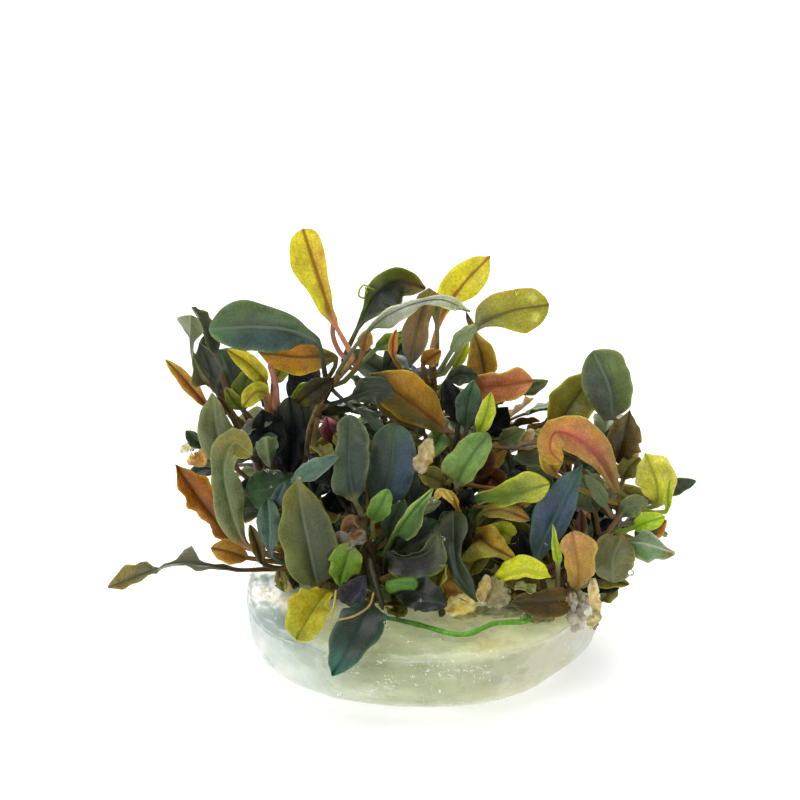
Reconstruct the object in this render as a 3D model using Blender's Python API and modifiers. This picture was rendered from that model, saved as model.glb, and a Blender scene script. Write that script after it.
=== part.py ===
"""A clump of bucephalandra from tissue culture on its disc of clear gel.

All sizes are millimetres until an object is made. X is right, Y is away from the viewer, Z is up, and the
origin is the middle of the disc's flat underside. Stems and leaves are placed as they are seen from the
front: how far right of the origin and how far up from it they show, and how deep they stand behind it.
"""

import math
import random
from dataclasses import dataclass

import bmesh
import bpy
from mathutils import Matrix, Vector
from mathutils.bvhtree import BVHTree

MM = 0.001

# The disc of gel
GEL_RADIUS = 35.0
GEL_HEIGHT = 14.6
FRONT_BEVEL = 0.13
GEL_STEPS = 24

# Plant sizes
GAP = 0.3
STEM_RADIUS = 1.05
STEM_TIP_RADIUS = 0.75
SHEATH_LENGTH = 1.2
STALK_THICKNESS = 1.0
STALK_WIDTH = 1.1
BLADE_THICKNESS = 0.5
TIP_WIDTH = 0.5
ROOT_RADIUS = 0.5

# Where the front view is taken from: the eye looks down at TILT on AIM, from DISTANCE away
TILT = math.radians(22.0)
DISTANCE = 600.0
AIM = Vector((-4.6, 18.4, 45.4))
EYE = AIM + DISTANCE * Vector((0.0, -math.cos(TILT), math.sin(TILT)))
SEEN_UP = Vector((0.0, math.sin(TILT), math.cos(TILT)))
SEEN_AWAY = Vector((0.0, math.cos(TILT), -math.sin(TILT)))

# Rows and columns of faces in a leaf: wide, narrow, and grown together with its stem
WIDE = (7, 4)
NARROW = (7, 2)
FUSED = (4, 2)
STALK_SHARE = 0.25

# Small leaves that fill the room between the placed ones
FILL_SEED = 11
FILL_COUNT = 22
FILL_TRIES = 6000
FILL_LENGTH = (13.0, 21.0)
FILL_SHAPE = (0.36, 0.48)
FILL_RISE = (-20.0, 65.0)
FILL_DROOP = (0.0, 0.3)
FILL_CLEAR = 1.0
FILL_BACK = 38.0
FILL_COLOURS = ("dark", "blue", "green", "olive", "grey", "amber")

COLOURS = {
    "gel": (0.62, 0.68, 0.62),
    "stem": (0.30, 0.20, 0.09),
    "root": (0.13, 0.30, 0.03),
    "dark": (0.035, 0.065, 0.035),
    "blue": (0.030, 0.060, 0.065),
    "grey": (0.085, 0.120, 0.075),
    "sage": (0.15, 0.21, 0.12),
    "green": (0.10, 0.20, 0.05),
    "lime": (0.30, 0.42, 0.04),
    "olive": (0.17, 0.19, 0.04),
    "yellow": (0.45, 0.40, 0.06),
    "amber": (0.34, 0.16, 0.03),
    "orange": (0.40, 0.17, 0.06),
    "pink": (0.50, 0.22, 0.13),
    "brown": (0.14, 0.09, 0.04),
}


@dataclass
class Leaf:
    """One leaf: where its stalk leaves the stem, and its blade's way from base to tip."""

    name: str
    stem: str
    at: float
    blade: list
    width: float
    colour: str
    widest: float = 0.5
    blunt: float = 0.6
    taper: float = 0.75
    roll: tuple = (0.0, 0.0)
    fold: float = 12.0
    cup: float = 0.0
    wave: float = 0.0
    waves: float = 2.0
    faces: Vector = None
    grid: tuple = NARROW


def seen(across, up, depth):
    """The point at this depth that shows this far right of and up from the origin."""
    flat = Vector((across, up * math.sin(TILT), up * math.cos(TILT)))
    ray = flat - EYE
    return EYE + ray * ((depth - EYE.y) / ray.y)


def shown(point):
    """How far right of and up from the origin a point shows: the reverse of seen."""
    ray = point - EYE
    scale = DISTANCE / ray.dot(SEEN_AWAY)
    return AIM.x + ray.x * scale, AIM.dot(SEEN_UP) + ray.dot(SEEN_UP) * scale


def front(*points):
    return [seen(*point) for point in points]


def upright(foot, *points):
    """A stem's way: straight up out of the gel at foot, then through points as seen from the front."""
    x, y = foot
    start = [Vector((x, y, GEL_HEIGHT + GAP)), Vector((x, y, GEL_HEIGHT + GAP + 2.0))]
    return start + front(*points)


def creeping(*points):
    """A stem's way along the gel's top, as x, y and its height over the gel."""
    return [Vector((x, y, GEL_HEIGHT + GAP + STEM_RADIUS + over)) for x, y, over in points]


STEMS = {
    "stem_front_left": creeping((-19, 1.5, 0), (-24, 1, 0.2), (-28.5, -0.4, 1)),
    "stem_front": creeping((-2, -13.5, 0.4), (-9, -12, 0.1), (-16, -11, 0.2), (-21, -9, 0.8)),
    "stem_centre": upright((-8, -4), (-9.5, 18, -5), (-11.6, 22, -7), (-12.4, 26, -7)),
    "stem_centre_right": upright((8, 0), (9, 25, -2), (7, 32, -1), (7.4, 41, 1)),
    "stem_left": upright((-25, 6), (-28.5, 28, 6), (-30.4, 38, 5), (-29.6, 47.5, 5)),
    "stem_top_left": upright((-21, 10), (-24, 35, 9), (-19.6, 50, 8), (-14.6, 56.5, 7)),
    "stem_top_right": upright((1, 14), (2.5, 35, 13), (2.2, 48, 12), (1.8, 58, 12)),
    "stem_right_back": upright((26, 8), (31, 27, 8), (36, 37, 6), (38.4, 44, 6)),
    "stem_right": upright((28, -2), (34, 19, -2), (38.4, 24, -3), (40, 29, -3)),
    "stem_right_front": creeping((13, -11, 0.2), (20, -12, 0), (26, -11.5, 0.4), (30, -10, 1.8)),
    "stem_back": upright((-6, 24), (-7, 36, 26), (-8, 47, 27)),
    "stem_back_left": upright((-18, 20), (-24, 34, 24), (-27, 42, 26)),
    "stem_back_right": upright((15, 19), (17, 36, 21), (14, 49, 21)),
}

# The branch grows out of stem_left, so it starts beside it
BRANCH = "stem_far_left"
BRANCH_FROM = ("stem_left", 0.62)
BRANCH_POINTS = front((-34.5, 42, 4), (-38.2, 46, 3), (-39.6, 49, 3))

LEAVES = [
    # Upper left
    Leaf("leaf_dark_top_left", "stem_top_left", 0.88,
         front((-21.2, 60.6, 4), (-27, 63, 2), (-34, 63.6, 0), (-42.8, 63, -2)),
         
         8.8, "dark", widest=0.55, roll=(-10, 10), fold=14, grid=WIDE),
    Leaf("leaf_amber_left", "stem_top_left", 0.78, front((-20, 57, 9), (-27, 57.4, 9), (-33, 58.6, 8)),
         6.0, "amber", fold=10, wave=0.4),
    Leaf("leaf_twisted_far_left", BRANCH, 1.00, front((-42.6, 52, 4), (-46.4, 59, 3), (-46.6, 66.2, 4)),
         6.6, "sage", roll=(20, 80, 150), fold=8),
    Leaf("leaf_sage_left", "stem_left", 0.50, front((-37.6, 35.6, 1), (-41, 42, -2), (-42, 50.2, -2)),
         7.8, "sage", widest=0.45, fold=10),
    Leaf("leaf_black_upright", "stem_left", 0.40, front((-26.6, 34, 3), (-26, 41, 2), (-26.6, 49.6, 2)),
         4.8, "blue", roll=(10, -20), fold=20),
    # Lower left
    Leaf("leaf_sage_yellow_tip", "stem_front_left", 0.86,
         front((-35.4, 20, -4), (-38.6, 28, -6), (-39.8, 35.4, -7), (-37.6, 40.4, -8.6), (-34.2, 38, -11)),
         7.6, "sage", widest=0.55, roll=(0, 15), fold=14),
    Leaf("leaf_orange_left", "stem_front_left", 0.62, front((-36.6, 20, 0), (-43, 27, 1), (-49.4, 36, 0)),
         7.8, "orange", roll=(-15, 10), wave=0.7),
    Leaf("leaf_long_left", "stem_front_left", 1.00,
         front((-37, 15, -3), (-43.6, 15.8, -4), (-49, 16.2, -3), (-55, 14.6, -2), (-63, 11.4, -1)),
         5.0, "olive", widest=0.6, roll=(30, 65, 10), wave=0.5, waves=3),
    Leaf("leaf_glossy_dark", "stem_top_left", 0.36,
         front((-25.6, 33.6, 0), (-30, 31.6, -3), (-35.4, 30.4, -4)),
         
         7.8, "dark", roll=(20, 10), fold=-10),
    Leaf("leaf_blue_left", "stem_front_left", 0.30,
         front((-30, 17.6, -5), (-30.6, 23, -6.5), (-31, 29.4, -6)),
         
         5.0, "blue", widest=0.6, roll=(-20, 0)),
    Leaf("leaf_front_big", "stem_front", 0.94,
         front((-21.2, 12, -13), (-22.8, 20, -16), (-24.4, 28, -15.5), (-25, 33.8, -14)),
         11.0, "olive", widest=0.4, fold=9, wave=0.4, waves=3, grid=WIDE),
    Leaf("leaf_bright_green", "stem_front", 0.62,
         front((-16.6, 12.4, -15), (-15.6, 16, -17), (-14.6, 20, -17.5)),
         
         7.2, "green", widest=0.75, blunt=0.45),
    Leaf("leaf_over_rim_yellow", "stem_front", 0.77,
         front((-19, 10.6, -19), (-21.4, 7.6, -24.5), (-23.4, 4.6, -28), (-25.4, 1, -29)),
         9.2, "yellow", widest=0.6, fold=16, roll=(20, 0), wave=0.5),
    Leaf("leaf_over_rim_dark", "stem_front", 0.38,
         front((-10.4, 8.2, -24), (-12.4, 4, -33), (-15.4, -1.6, -36.6), (-18.2, -6, -36.6)),
         10.2, "dark", widest=0.6, fold=8, wave=0.4, grid=WIDE),
    # Centre
    Leaf("leaf_upright_centre", "stem_centre", 1.00,
         front((-13.8, 29.4, -9), (-14.8, 36, -9), (-14.6, 46, -6)),
         
         7.6, "grey", widest=0.45, fold=14),
    Leaf("leaf_round_centre", "stem_centre", 0.80, front((-9, 27, -5), (-6.2, 36, -4), (-6, 44.4, -3)),
         9.6, "blue", widest=0.55, fold=8),
    Leaf("leaf_folded_light", "stem_centre", 0.45,
         front((-5.8, 22, -11), (-2.4, 26.5, -12.5), (2, 31.2, -12)),
         
         5.2, "lime", fold=35, roll=(20, 20)),
    Leaf("leaf_cupped_dark", "stem_centre", 0.22, front((-7, 18, -13), (-3.4, 17.4, -16), (0.8, 18.6, -17), (3.2, 23, -16.6)),
         7.6, "dark", widest=0.55, cup=0.25, roll=(10, 0), grid=WIDE),
    Leaf("leaf_lying_dark", "stem_front", 0.08, front((-5, 11, -18), (-1, 10, -22), (4.8, 8, -24)),
         6.8, "dark", fold=10, roll=(-15, -15)),
    Leaf("leaf_long_curved", "stem_centre_right", 0.40,
         front((8.6, 24, -8), (6.8, 20, -14), (7.4, 14, -20), (11, 8.8, -23)),
         
         4.2, "dark", roll=(30, 20), fold=20),
    Leaf("leaf_olive_star", "stem_centre_right", 0.24,
         front((11, 21.4, -7), (14, 19.4, -12), (18.8, 17, -14)),
         
         9.2, "olive", widest=0.42, wave=1.0, fold=16, grid=WIDE),
    Leaf("leaf_lime_front", "stem_right_front", 0.08,
         front((14.6, 12.6, -17), (19.8, 14.6, -19.5), (25.6, 13.6, -21)),
         
         6.0, "lime", widest=0.6, fold=-14, roll=(-10, 10)),
    Leaf("leaf_lime_right", "stem_centre_right", 0.52,
         front((10, 28.6, -6), (16.4, 30, -11), (25.2, 32.2, -15)),
         
         6.8, "lime", widest=0.7, fold=14, roll=(15, 5)),
    Leaf("leaf_mid_green", "stem_centre_right", 0.66, front((6.8, 32, -6), (9, 36.8, -8), (13.2, 42.2, -7)),
         7.0, "green", fold=12),
    Leaf("leaf_amber_centre", "stem_centre_right", 1.00,
         front((4.6, 43, 3), (-1.8, 48, 5), (-10.6, 54.2, 4)),
         
         9.6, "amber", fold=10, wave=0.4),
    Leaf("leaf_dark_pointed", "stem_centre_right", 0.90,
         front((8.6, 43, -2), (9.2, 48, -2), (10.2, 53, -1)),
         
         5.6, "dark", blunt=0.85, fold=16),
    # Top
    Leaf("leaf_tall_yellow", "stem_top_left", 1.00, front((-18, 65, 9), (-20.6, 73, 11), (-24, 83.2, 12)),
         7.6, "yellow", widest=0.72, blunt=0.5, taper=1.0, fold=9),
    Leaf("leaf_curled_top", "stem_top_left", 0.97, front((-12.4, 64.6, 11), (-9.2, 70, 14.5), (-4.6, 72.6, 16), (0.6, 71.4, 15)),
         9.2, "dark", cup=0.35, roll=(-10, 20), grid=WIDE),
    Leaf("leaf_arching", "stem_top_left", 0.93,
         front((-10.4, 63.4, 0.6), (-4.2, 67.4, 0), (3.4, 69.4, 0), (9.4, 66.6, 0)),
         
         5.8, "grey", roll=(55, 62, 50), fold=10),
    Leaf("leaf_yellow_right", "stem_top_right", 1.00, front((3.4, 64.6, 14), (8, 72, 17), (13.4, 77.8, 18)),
         7.8, "yellow", widest=0.55, fold=10),
    Leaf("leaf_olive_oval", "stem_top_right", 0.90, front((10.8, 63.6, 7), (17.6, 66.8, 6), (25.2, 68, 5)),
         9.4, "olive", widest=0.55, blunt=0.5, fold=10, roll=(10, 0)),
    Leaf("leaf_hanging_dark", "stem_top_right", 0.95,
         front((2.6, 66, 9), (1.2, 69.4, 7), (-1, 64, 5), (-2.6, 55.4, 5)),
         
         4.8, "dark", widest=0.6, roll=(0, 10), fold=14),
    Leaf("leaf_orange_right", "stem_top_right", 0.76, front((9.4, 50.8, 9), (16, 51.8, 7), (22, 52.8, 6)),
         6.4, "orange", blunt=0.5, fold=10, wave=0.3),
    Leaf("leaf_olive_upright", "stem_back_right", 1.00,
         front((12.4, 53.6, 17), (11.6, 58, 15), (8.6, 66.6, 13)),
         
         6.6, "olive", widest=0.35, blunt=1.0, fold=14),
    # Right
    Leaf("leaf_upright_right", "stem_right_back", 1.00, front((38, 45.6, 7), (37.4, 51, 8), (34, 58.8, 8)),
         9.8, "grey", fold=9),
    Leaf("leaf_olive_right", "stem_right_back", 0.45, front((26.4, 42, 11), (29.4, 47.6, 12), (34, 54, 12)),
         9.2, "olive", fold=8),
    Leaf("leaf_pink_folded", "stem_right", 1.00,
         front((38.8, 31, -4), (36, 36.4, -5), (31.6, 41, -7), (26.8, 43, -9.5), (24.4, 39.4, -12)),
         9.4, "pink", fold=14, roll=(15, 0, -20), grid=WIDE),
    Leaf("leaf_pale_lime", "stem_right", 0.93, front((46.4, 28, -2), (46.8, 32, -1), (44.4, 38.4, 0)),
         8.2, "lime", widest=0.45, fold=12),
    Leaf("leaf_twisted_right", "stem_right", 0.48,
         front((41.4, 20.6, -8), (45.4, 20, -10), (50.4, 18.4, -10)),
         
         6.0, "green", roll=(-10, 40), fold=14),
    Leaf("leaf_round_olive", "stem_right", 0.60,
         front((39.6, 21.6, -11), (38, 17.5, -15), (38, 12.4, -16.5)),
         
         8.6, "olive", blunt=0.5, fold=8),
    Leaf("leaf_orange_front", "stem_right_front", 0.94,
         front((30.8, 11.4, -15), (31, 16, -18), (29.8, 22.6, -18.5)),
         
         7.4, "orange", fold=12),
    Leaf("leaf_blue_right", "stem_right_front", 0.62,
         front((23, 17, -11), (27, 26.6, -12), (31.8, 36, -11)),
         
         8.6, "blue", fold=12),
    Leaf("leaf_brown_lying", "stem_right_front", 0.46,
         front((25, 9.8, -17), (22, 8.8, -20), (17.6, 7.6, -22)),
         
         5.4, "brown", fold=10, wave=0.4),
    # Behind
    Leaf("leaf_back_left", "stem_back_left", 0.85, front((-25, 43, 32), (-31, 45, 36), (-38, 43, 37)),
         8.8, "grey", faces=Vector((-0.4, 0.7, 0.6))),
]

# Smaller leaves, grown together with their stem
SMALL_LEAVES = [
    Leaf("dark_left", BRANCH, 0.86, front((-40.6, 52, 0), (-42.6, 55, -1), (-46, 61, -1)),
         5.4, "dark", roll=(-20, 0)),
    Leaf("folded_far_left", BRANCH, 0.60, front((-43, 47.6, 2), (-47.6, 53, 1), (-51.4, 57, 1)),
         3.6, "yellow", fold=35),
    Leaf("yellow_folded", "stem_left", 0.97, front((-31.4, 52, 4), (-34.6, 56, 2), (-39, 59, 1)),
         4.4, "yellow", fold=30),
    Leaf("wavy_grey", "stem_left", 0.90, front((-31, 45.6, 1), (-33.6, 46, 0), (-37, 46.6, 0)),
         6.0, "grey", wave=0.6),
    Leaf("drooping_left", "stem_left", 0.94, front((-31, 50, 2), (-33.4, 50.6, 0), (-36, 47.6, -1)),
         4.0, "yellow"),
    Leaf("amber_left", "stem_front_left", 0.74,
         front((-35, 17.4, -4), (-38.5, 18.6, -5), (-42.4, 19.4, -5)),
         5.0, "amber"),
    Leaf("dark_purple", "stem_front", 0.50, front((-13.6, 11, -17), (-12.6, 12.6, -19), (-11, 14, -19.5)),
         5.0, "blue"),
    Leaf("bright", "stem_centre", 0.70, front((-10, 24.6, -11), (-8.4, 28, -12.5), (-7, 31, -12.5)),
         4.6, "green"),
    Leaf("dark_centre", "stem_centre", 0.60, front((-8, 22, -7), (-6, 25, -8), (-5, 28, -8)), 4.0, "dark"),
    Leaf("folded_yellow", "stem_centre_right", 0.85,
         front((11, 42, -4), (12.6, 46, -4.5), (13.6, 50.4, -4)),
         3.8, "lime", fold=25),
    Leaf("dark_olive", "stem_centre_right", 0.74, front((4.6, 32.4, -3), (2, 33.6, -5), (-1, 34.6, -6)),
         4.4, "olive"),
    Leaf("green_behind", "stem_top_left", 0.86, front((-9.6, 59, 9), (-7, 60.6, 10), (-3.8, 61.6, 10)),
         3.4, "green"),
    Leaf("tan_top", "stem_top_right", 0.87, front((0, 56, 9), (1.4, 57.4, 8), (3.6, 58.8, 8)),
         3.6, "amber"),
    Leaf("yellow_narrow", "stem_top_right", 0.84, front((6, 55, 11), (7.4, 57.4, 11), (9, 60.6, 11)),
         2.4, "lime"),
    Leaf("crumpled_brown", "stem_right_back", 0.86,
         front((40, 39.6, 3), (40.8, 42.6, 1.5), (41.8, 46.6, 1)),
         5.8, "brown"),
    Leaf("lime_small", "stem_right", 0.74, front((42, 23.4, -6), (45, 24.6, -8), (48.4, 25.6, -8)),
         4.0, "lime"),
    Leaf("narrow_right", "stem_right", 0.84, front((36.8, 27.4, -6), (35, 30.6, -8), (32.4, 34, -8)),
         3.0, "grey"),
    Leaf("dark_tip_right", "stem_right", 0.84, front((46, 29, 3), (50, 31.4, 4), (54.6, 32.8, 4)),
         3.4, "dark"),
    Leaf("lime_fold", "stem_right_front", 0.74, front((27, 16, -16), (26.6, 19, -17), (26, 24, -17)),
         2.8, "lime"),
]

# Smaller leaves of the clump's back and right back, grown together with their stem
BACK_LEAVES = [
    Leaf("back_middle", "stem_back", 0.55,
         [Vector((-5, 30, 31)), Vector((-3, 34, 33.5)), Vector((-0.5, 38.4, 33))],
         7.4, "green", faces=Vector((0.1, 0.5, 0.8))),
    Leaf("back_right", "stem_back_right", 0.60,
         [Vector((18, 26, 31)), Vector((19, 31, 32)), Vector((20, 36.5, 30))],
         7.0, "dark", faces=Vector((0.2, 0.4, 0.9))),
    Leaf("back_left", "stem_back_left", 0.80,
         [Vector((-22, 28, 36)), Vector((-20, 32.5, 37)), Vector((-17, 37, 36))],
         7.0, "blue", faces=Vector((0.0, 0.4, 0.9))),
    Leaf("right_behind", "stem_right_back", 0.55,
         [Vector((37, 13, 30)), Vector((40.5, 17, 30.5)), Vector((44.5, 20.5, 29))],
         7.0, "olive", faces=Vector((0.3, 0.4, 0.8))),
    Leaf("high_behind", "stem_right_back", 0.75,
         [Vector((36, 12, 39)), Vector((37, 16.5, 41)), Vector((38.5, 21.5, 41.5))],
         6.4, "grey", faces=Vector((0.2, 0.3, 0.9))),
]

# The clump's outer edge as seen from the front, which the fill leaves stay inside
CLUMP_EDGE = [
    (-48, 36), (-46, 40), (-44, 50), (-46, 58), (-40, 66), (-32, 67), (-23, 60), (-16, 61), (-10, 66),
    (6, 68), (13, 62), (15, 54), (24, 53), (33, 56), (41, 54), (43, 46), (43, 40), (50, 37), (51, 29),
    (50, 22), (44, 17), (40, 10), (30, 8), (15, 9), (-10, 9), (-22, 8), (-31, 14), (-41, 17), (-47, 27),
]

# The root lies on the gel's top near its front edge: x, y and its axis's height over the gel
ROOT_POINTS = [
    (-7.0, -20.4, 0.9), (-3.6, -21.4, 0.9), (0.2, -23.2, 0.9), (3.2, -25.2, 0.9), (6.0, -26.9, 0.9),
    (8.8, -26.6, 0.9), (11.2, -24.8, 0.95), (13.4, -23.2, 1.0), (16.6, -22.6, 1.0), (19.8, -22.6, 0.95),
]


def smooth_way(points, steps):
    """Points along a smooth curve through the given ones, with steps to each stretch."""
    ends = [points[0] * 2 - points[1]] + list(points) + [points[-1] * 2 - points[-2]]
    way = []
    for a, b, c, d in zip(ends, ends[1:], ends[2:], ends[3:]):
        ta = 0.0
        tb = ta + math.sqrt((b - a).length)
        tc = tb + math.sqrt((c - b).length)
        td = tc + math.sqrt((d - c).length)
        for step in range(steps):
            t = tb + (tc - tb) * step / steps
            ab = a.lerp(b, (t - ta) / (tb - ta))
            bc = b.lerp(c, (t - tb) / (tc - tb))
            cd = c.lerp(d, (t - tc) / (td - tc))
            abc = ab.lerp(bc, (t - ta) / (tc - ta))
            bcd = bc.lerp(cd, (t - tb) / (td - tb))
            way.append(abc.lerp(bcd, (t - tb) / (tc - tb)))
    return way + [points[-1].copy()]


def point_along(way, share):
    """The point and direction at this share of a way's length."""
    lengths = [(b - a).length for a, b in zip(way, way[1:])]
    left = share * sum(lengths)
    for a, b, length in zip(way, way[1:], lengths):
        if left <= length:
            return a.lerp(b, left / length), (b - a).normalized()
        left -= length
    return way[-1].copy(), (way[-1] - way[-2]).normalized()


def stem_radius(share):
    return STEM_RADIUS + (STEM_TIP_RADIUS - STEM_RADIUS) * share


def beside(way, share, toward, clear):
    """Where a piece grows out of a stem, clear of its skin, and the direction that it leaves in."""
    on_stem, along = point_along(way, share)
    if share >= 1.0:
        return on_stem + along * clear, along
    out = toward - on_stem
    out = (out - along * out.dot(along)).normalized()
    return on_stem + out * (stem_radius(share) + clear), out


def blade_half_width(leaf, t):
    """The blade's half width at t, from its base at 0 to its tip at 1."""
    bend = math.log(0.5) / math.log(leaf.widest)
    power = leaf.taper if t < leaf.widest else leaf.blunt
    return 0.5 * leaf.width * max(math.sin(math.pi * t**bend), 0.0) ** power


def between(values, t):
    """The value at t of a tuple spread evenly from 0 to 1."""
    place = t * (len(values) - 1)
    low = min(int(place), len(values) - 2)
    return values[low] + (values[low + 1] - values[low]) * (place - low)


def leaf_places(leaf, way, clear=GAP):
    """A function that gives the point at a share of the leaf's length and -1 to 1 across it, and the share
    at which the blade begins.
    """
    start, out = beside(way, leaf.at, leaf.blade[0], clear)
    steps = 8
    line = smooth_way([start, start + out * SHEATH_LENGTH] + leaf.blade, steps)
    lengths = [(b - a).length for a, b in zip(line, line[1:])]
    first = sum(lengths[: 2 * steps]) / sum(lengths)

    def place(share, side):
        centre, along = point_along(line, share)
        t = max(share - first, 0.0) / (1.0 - first)
        facing = leaf.faces or (EYE - centre)
        facing = (facing - along * facing.dot(along)).normalized()
        facing = Matrix.Rotation(math.radians(between(leaf.roll, t)), 3, along) @ facing
        across = along.cross(facing)
        if share < first:
            return centre + across * (side * STALK_WIDTH / 2)
        least = STALK_WIDTH / 2 + (TIP_WIDTH - STALK_WIDTH) / 2 * t
        half = max(blade_half_width(leaf, t), least)
        fold = math.radians(leaf.fold) * math.sin(math.pi * min(t * 3.0, 0.5))
        lift = abs(side) * half * math.sin(fold) + leaf.cup * half * side * side
        lift += leaf.wave * side * side * math.sin(math.tau * leaf.waves * t + side) * math.sin(math.pi * t)
        return centre + across * (side * half * math.cos(fold)) + facing * lift

    return place, first


def row_share(row, rows, first):
    """The share along the leaf of one of its rows, which crowd toward the tip."""
    stalk_rows = max(1, round(rows * STALK_SHARE))
    if row <= stalk_rows:
        return first * row / stalk_rows
    t = (row - stalk_rows) / (rows - stalk_rows)
    return first + (1.0 - first) * math.sin(t * math.pi / 2.0) ** 1.15


def leaf_net(leaf, way):
    """A leaf's middle surface as points and faces, to test what it touches."""
    place, first = leaf_places(leaf, way)
    rows, columns = NARROW
    points = [
        place(row_share(row, rows, first), side - 1.0)
        for row in range(rows + 1)
        for side in range(columns + 1)
    ]
    faces = [
        (row * 3 + side, row * 3 + side + 1, row * 3 + side + 4, row * 3 + side + 3)
        for row in range(rows)
        for side in range(columns)
    ]
    return points, faces


def stem_net(way):
    """A stem as two ribbons that cross along its axis."""
    points = []
    faces = []
    for across in (Vector((STEM_RADIUS, 0.0, 0.0)), Vector((0.0, STEM_RADIUS, STEM_RADIUS / 2))):
        first = len(points)
        for point in way:
            points += [point - across, point + across]
        faces += [(i, i + 1, i + 3, i + 2) for i in range(first, len(points) - 2, 2)]
    return points, faces


def tree_of(nets):
    """One search tree for many nets."""
    points = []
    faces = []
    for net_points, net_faces in nets:
        faces += [tuple(index + len(points) for index in face) for face in net_faces]
        points += net_points
    return BVHTree.FromPolygons(points, faces)


def inside_edge(across, up):
    """Whether a place as seen from the front is inside the clump's edge."""
    inside = False
    for (ax, ay), (bx, by) in zip(CLUMP_EDGE, CLUMP_EDGE[1:] + CLUMP_EDGE[:1]):
        if (ay > up) != (by > up) and across < ax + (bx - ax) * (up - ay) / (by - ay):
            inside = not inside
    return inside


def chance_leaf(name, stem, way, rng):
    """A leaf of chance size and direction at a chance place on a stem."""
    at = rng.uniform(0.15, 0.95)
    on_stem, _ = point_along(way, at)
    turn = rng.uniform(0.0, math.tau)
    rise = math.radians(rng.uniform(*FILL_RISE))
    length = rng.uniform(*FILL_LENGTH)
    width = length * rng.uniform(*FILL_SHAPE)
    droop = Vector((0.0, 0.0, -length * rng.uniform(*FILL_DROOP)))
    out = Vector((math.cos(turn) * math.cos(rise), math.sin(turn) * math.cos(rise), math.sin(rise)))
    blade = [
        on_stem + out * length * 0.3,
        on_stem + out * length * 0.65 + droop * 0.3,
        on_stem + out * length + droop,
    ]
    faces = Vector((out.x * 0.3, out.y * 0.3 - 0.3, 1.0))
    colour = rng.choice(FILL_COLOURS)
    roll = rng.uniform(-30, 30)
    return Leaf(name, stem, at, blade, width, colour, faces=faces, roll=(roll, roll))


def fill_leaves(ways, count):
    """Chance leaves that touch nothing, stay inside the clump and hide no placed leaf from the front."""
    rng = random.Random(FILL_SEED)
    placed = tree_of([leaf_net(leaf, ways[leaf.stem]) for leaf in LEAVES + SMALL_LEAVES])
    stems = tree_of([stem_net(way) for way in ways.values()])
    names = sorted(ways)
    found = []
    nets = []
    for number in range(FILL_TRIES):
        stem = names[number % len(names)]
        leaf = chance_leaf(f"fill_{number}", stem, ways[stem], rng)
        points, faces = leaf_net(leaf, ways[stem])
        blade = points[9:]
        if min(point.z for point in points) < GEL_HEIGHT + FILL_CLEAR:
            continue
        if max(point.y for point in points) > FILL_BACK:
            continue
        if not all(inside_edge(*shown(point)) for point in blade):
            continue
        if any(placed.find_nearest(point, FILL_CLEAR)[0] for point in points):
            continue
        if any(stems.find_nearest(point, FILL_CLEAR)[0] for point in blade):
            continue
        own = BVHTree.FromPolygons(points, faces)
        if own.overlap(placed) or own.overlap(stems):
            continue
        if any(tree.find_nearest(point, FILL_CLEAR)[0] for tree in nets for point in points):
            continue
        if any(own.overlap(tree) for tree in nets):
            continue
        if any(covers(point, placed) for point in points):
            continue
        found.append(leaf)
        nets.append(own)
        if len(found) == count:
            break
    return found


def covers(point, placed):
    """Whether a point hides a placed leaf from the front."""
    ray = point - EYE
    hit = placed.ray_cast(EYE, ray.normalized())
    return hit[0] is not None and hit[3] > ray.length


def principled(name, colour, roughness):
    material = bpy.data.materials.new(name)
    material.use_nodes = True
    shader = material.node_tree.nodes["Principled BSDF"]
    shader.inputs["Base Color"].default_value = (*colour, 1.0)
    shader.inputs["Roughness"].default_value = roughness
    shader.inputs["Metallic"].default_value = 0.0
    return material


def add_object(name, data, collection, colour, roughness):
    data.materials.clear()
    data.materials.append(principled(name, COLOURS[colour], roughness))
    made = bpy.data.objects.new(name, data)
    collection.objects.link(made)
    return made


def add_leaf(leaf, way, collection, clear=GAP):
    """A leaf as a bent grid with a thick stalk and a thin blade."""
    rows, columns = leaf.grid
    place, first = leaf_places(leaf, way, clear)
    bm = bmesh.new()
    bmesh.ops.create_grid(bm, x_segments=columns, y_segments=rows, size=0.5)
    blade = []
    for vertex in bm.verts:
        share = row_share(round((vertex.co.y + 0.5) * rows), rows, first)
        if share > first + 0.001:
            blade.append(vertex.index)
        vertex.co = place(share, vertex.co.x * 2.0) * MM
    mesh = bpy.data.meshes.new(leaf.name)
    bm.to_mesh(mesh)
    bm.free()
    made = add_object(leaf.name, mesh, collection, leaf.colour, 0.4)
    group = made.vertex_groups.new(name="thickness")
    group.add(list(range(len(mesh.vertices))), 1.0, "REPLACE")
    group.add(blade, BLADE_THICKNESS / STALK_THICKNESS, "REPLACE")
    solidify = made.modifiers.new("thickness", "SOLIDIFY")
    solidify.thickness = STALK_THICKNESS * MM
    solidify.offset = 0.0
    solidify.vertex_group = group.name
    return made


def add_tube(name, way, radius, tip_radius, collection, colour):
    """A round stem or root as a curve with a bevel and filled caps."""
    curve = bpy.data.curves.new(name, "CURVE")
    curve.dimensions = "3D"
    curve.bevel_depth = radius * MM
    curve.bevel_resolution = 1
    curve.use_fill_caps = True
    spline = curve.splines.new("POLY")
    spline.points.add(len(way) - 1)
    for index, (point, place) in enumerate(zip(spline.points, way)):
        point.co = (*(place * MM), 1.0)
        point.radius = 1.0 + (tip_radius / radius - 1.0) * index / (len(way) - 1)
    return add_object(name, curve, collection, colour, 0.5)


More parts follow.
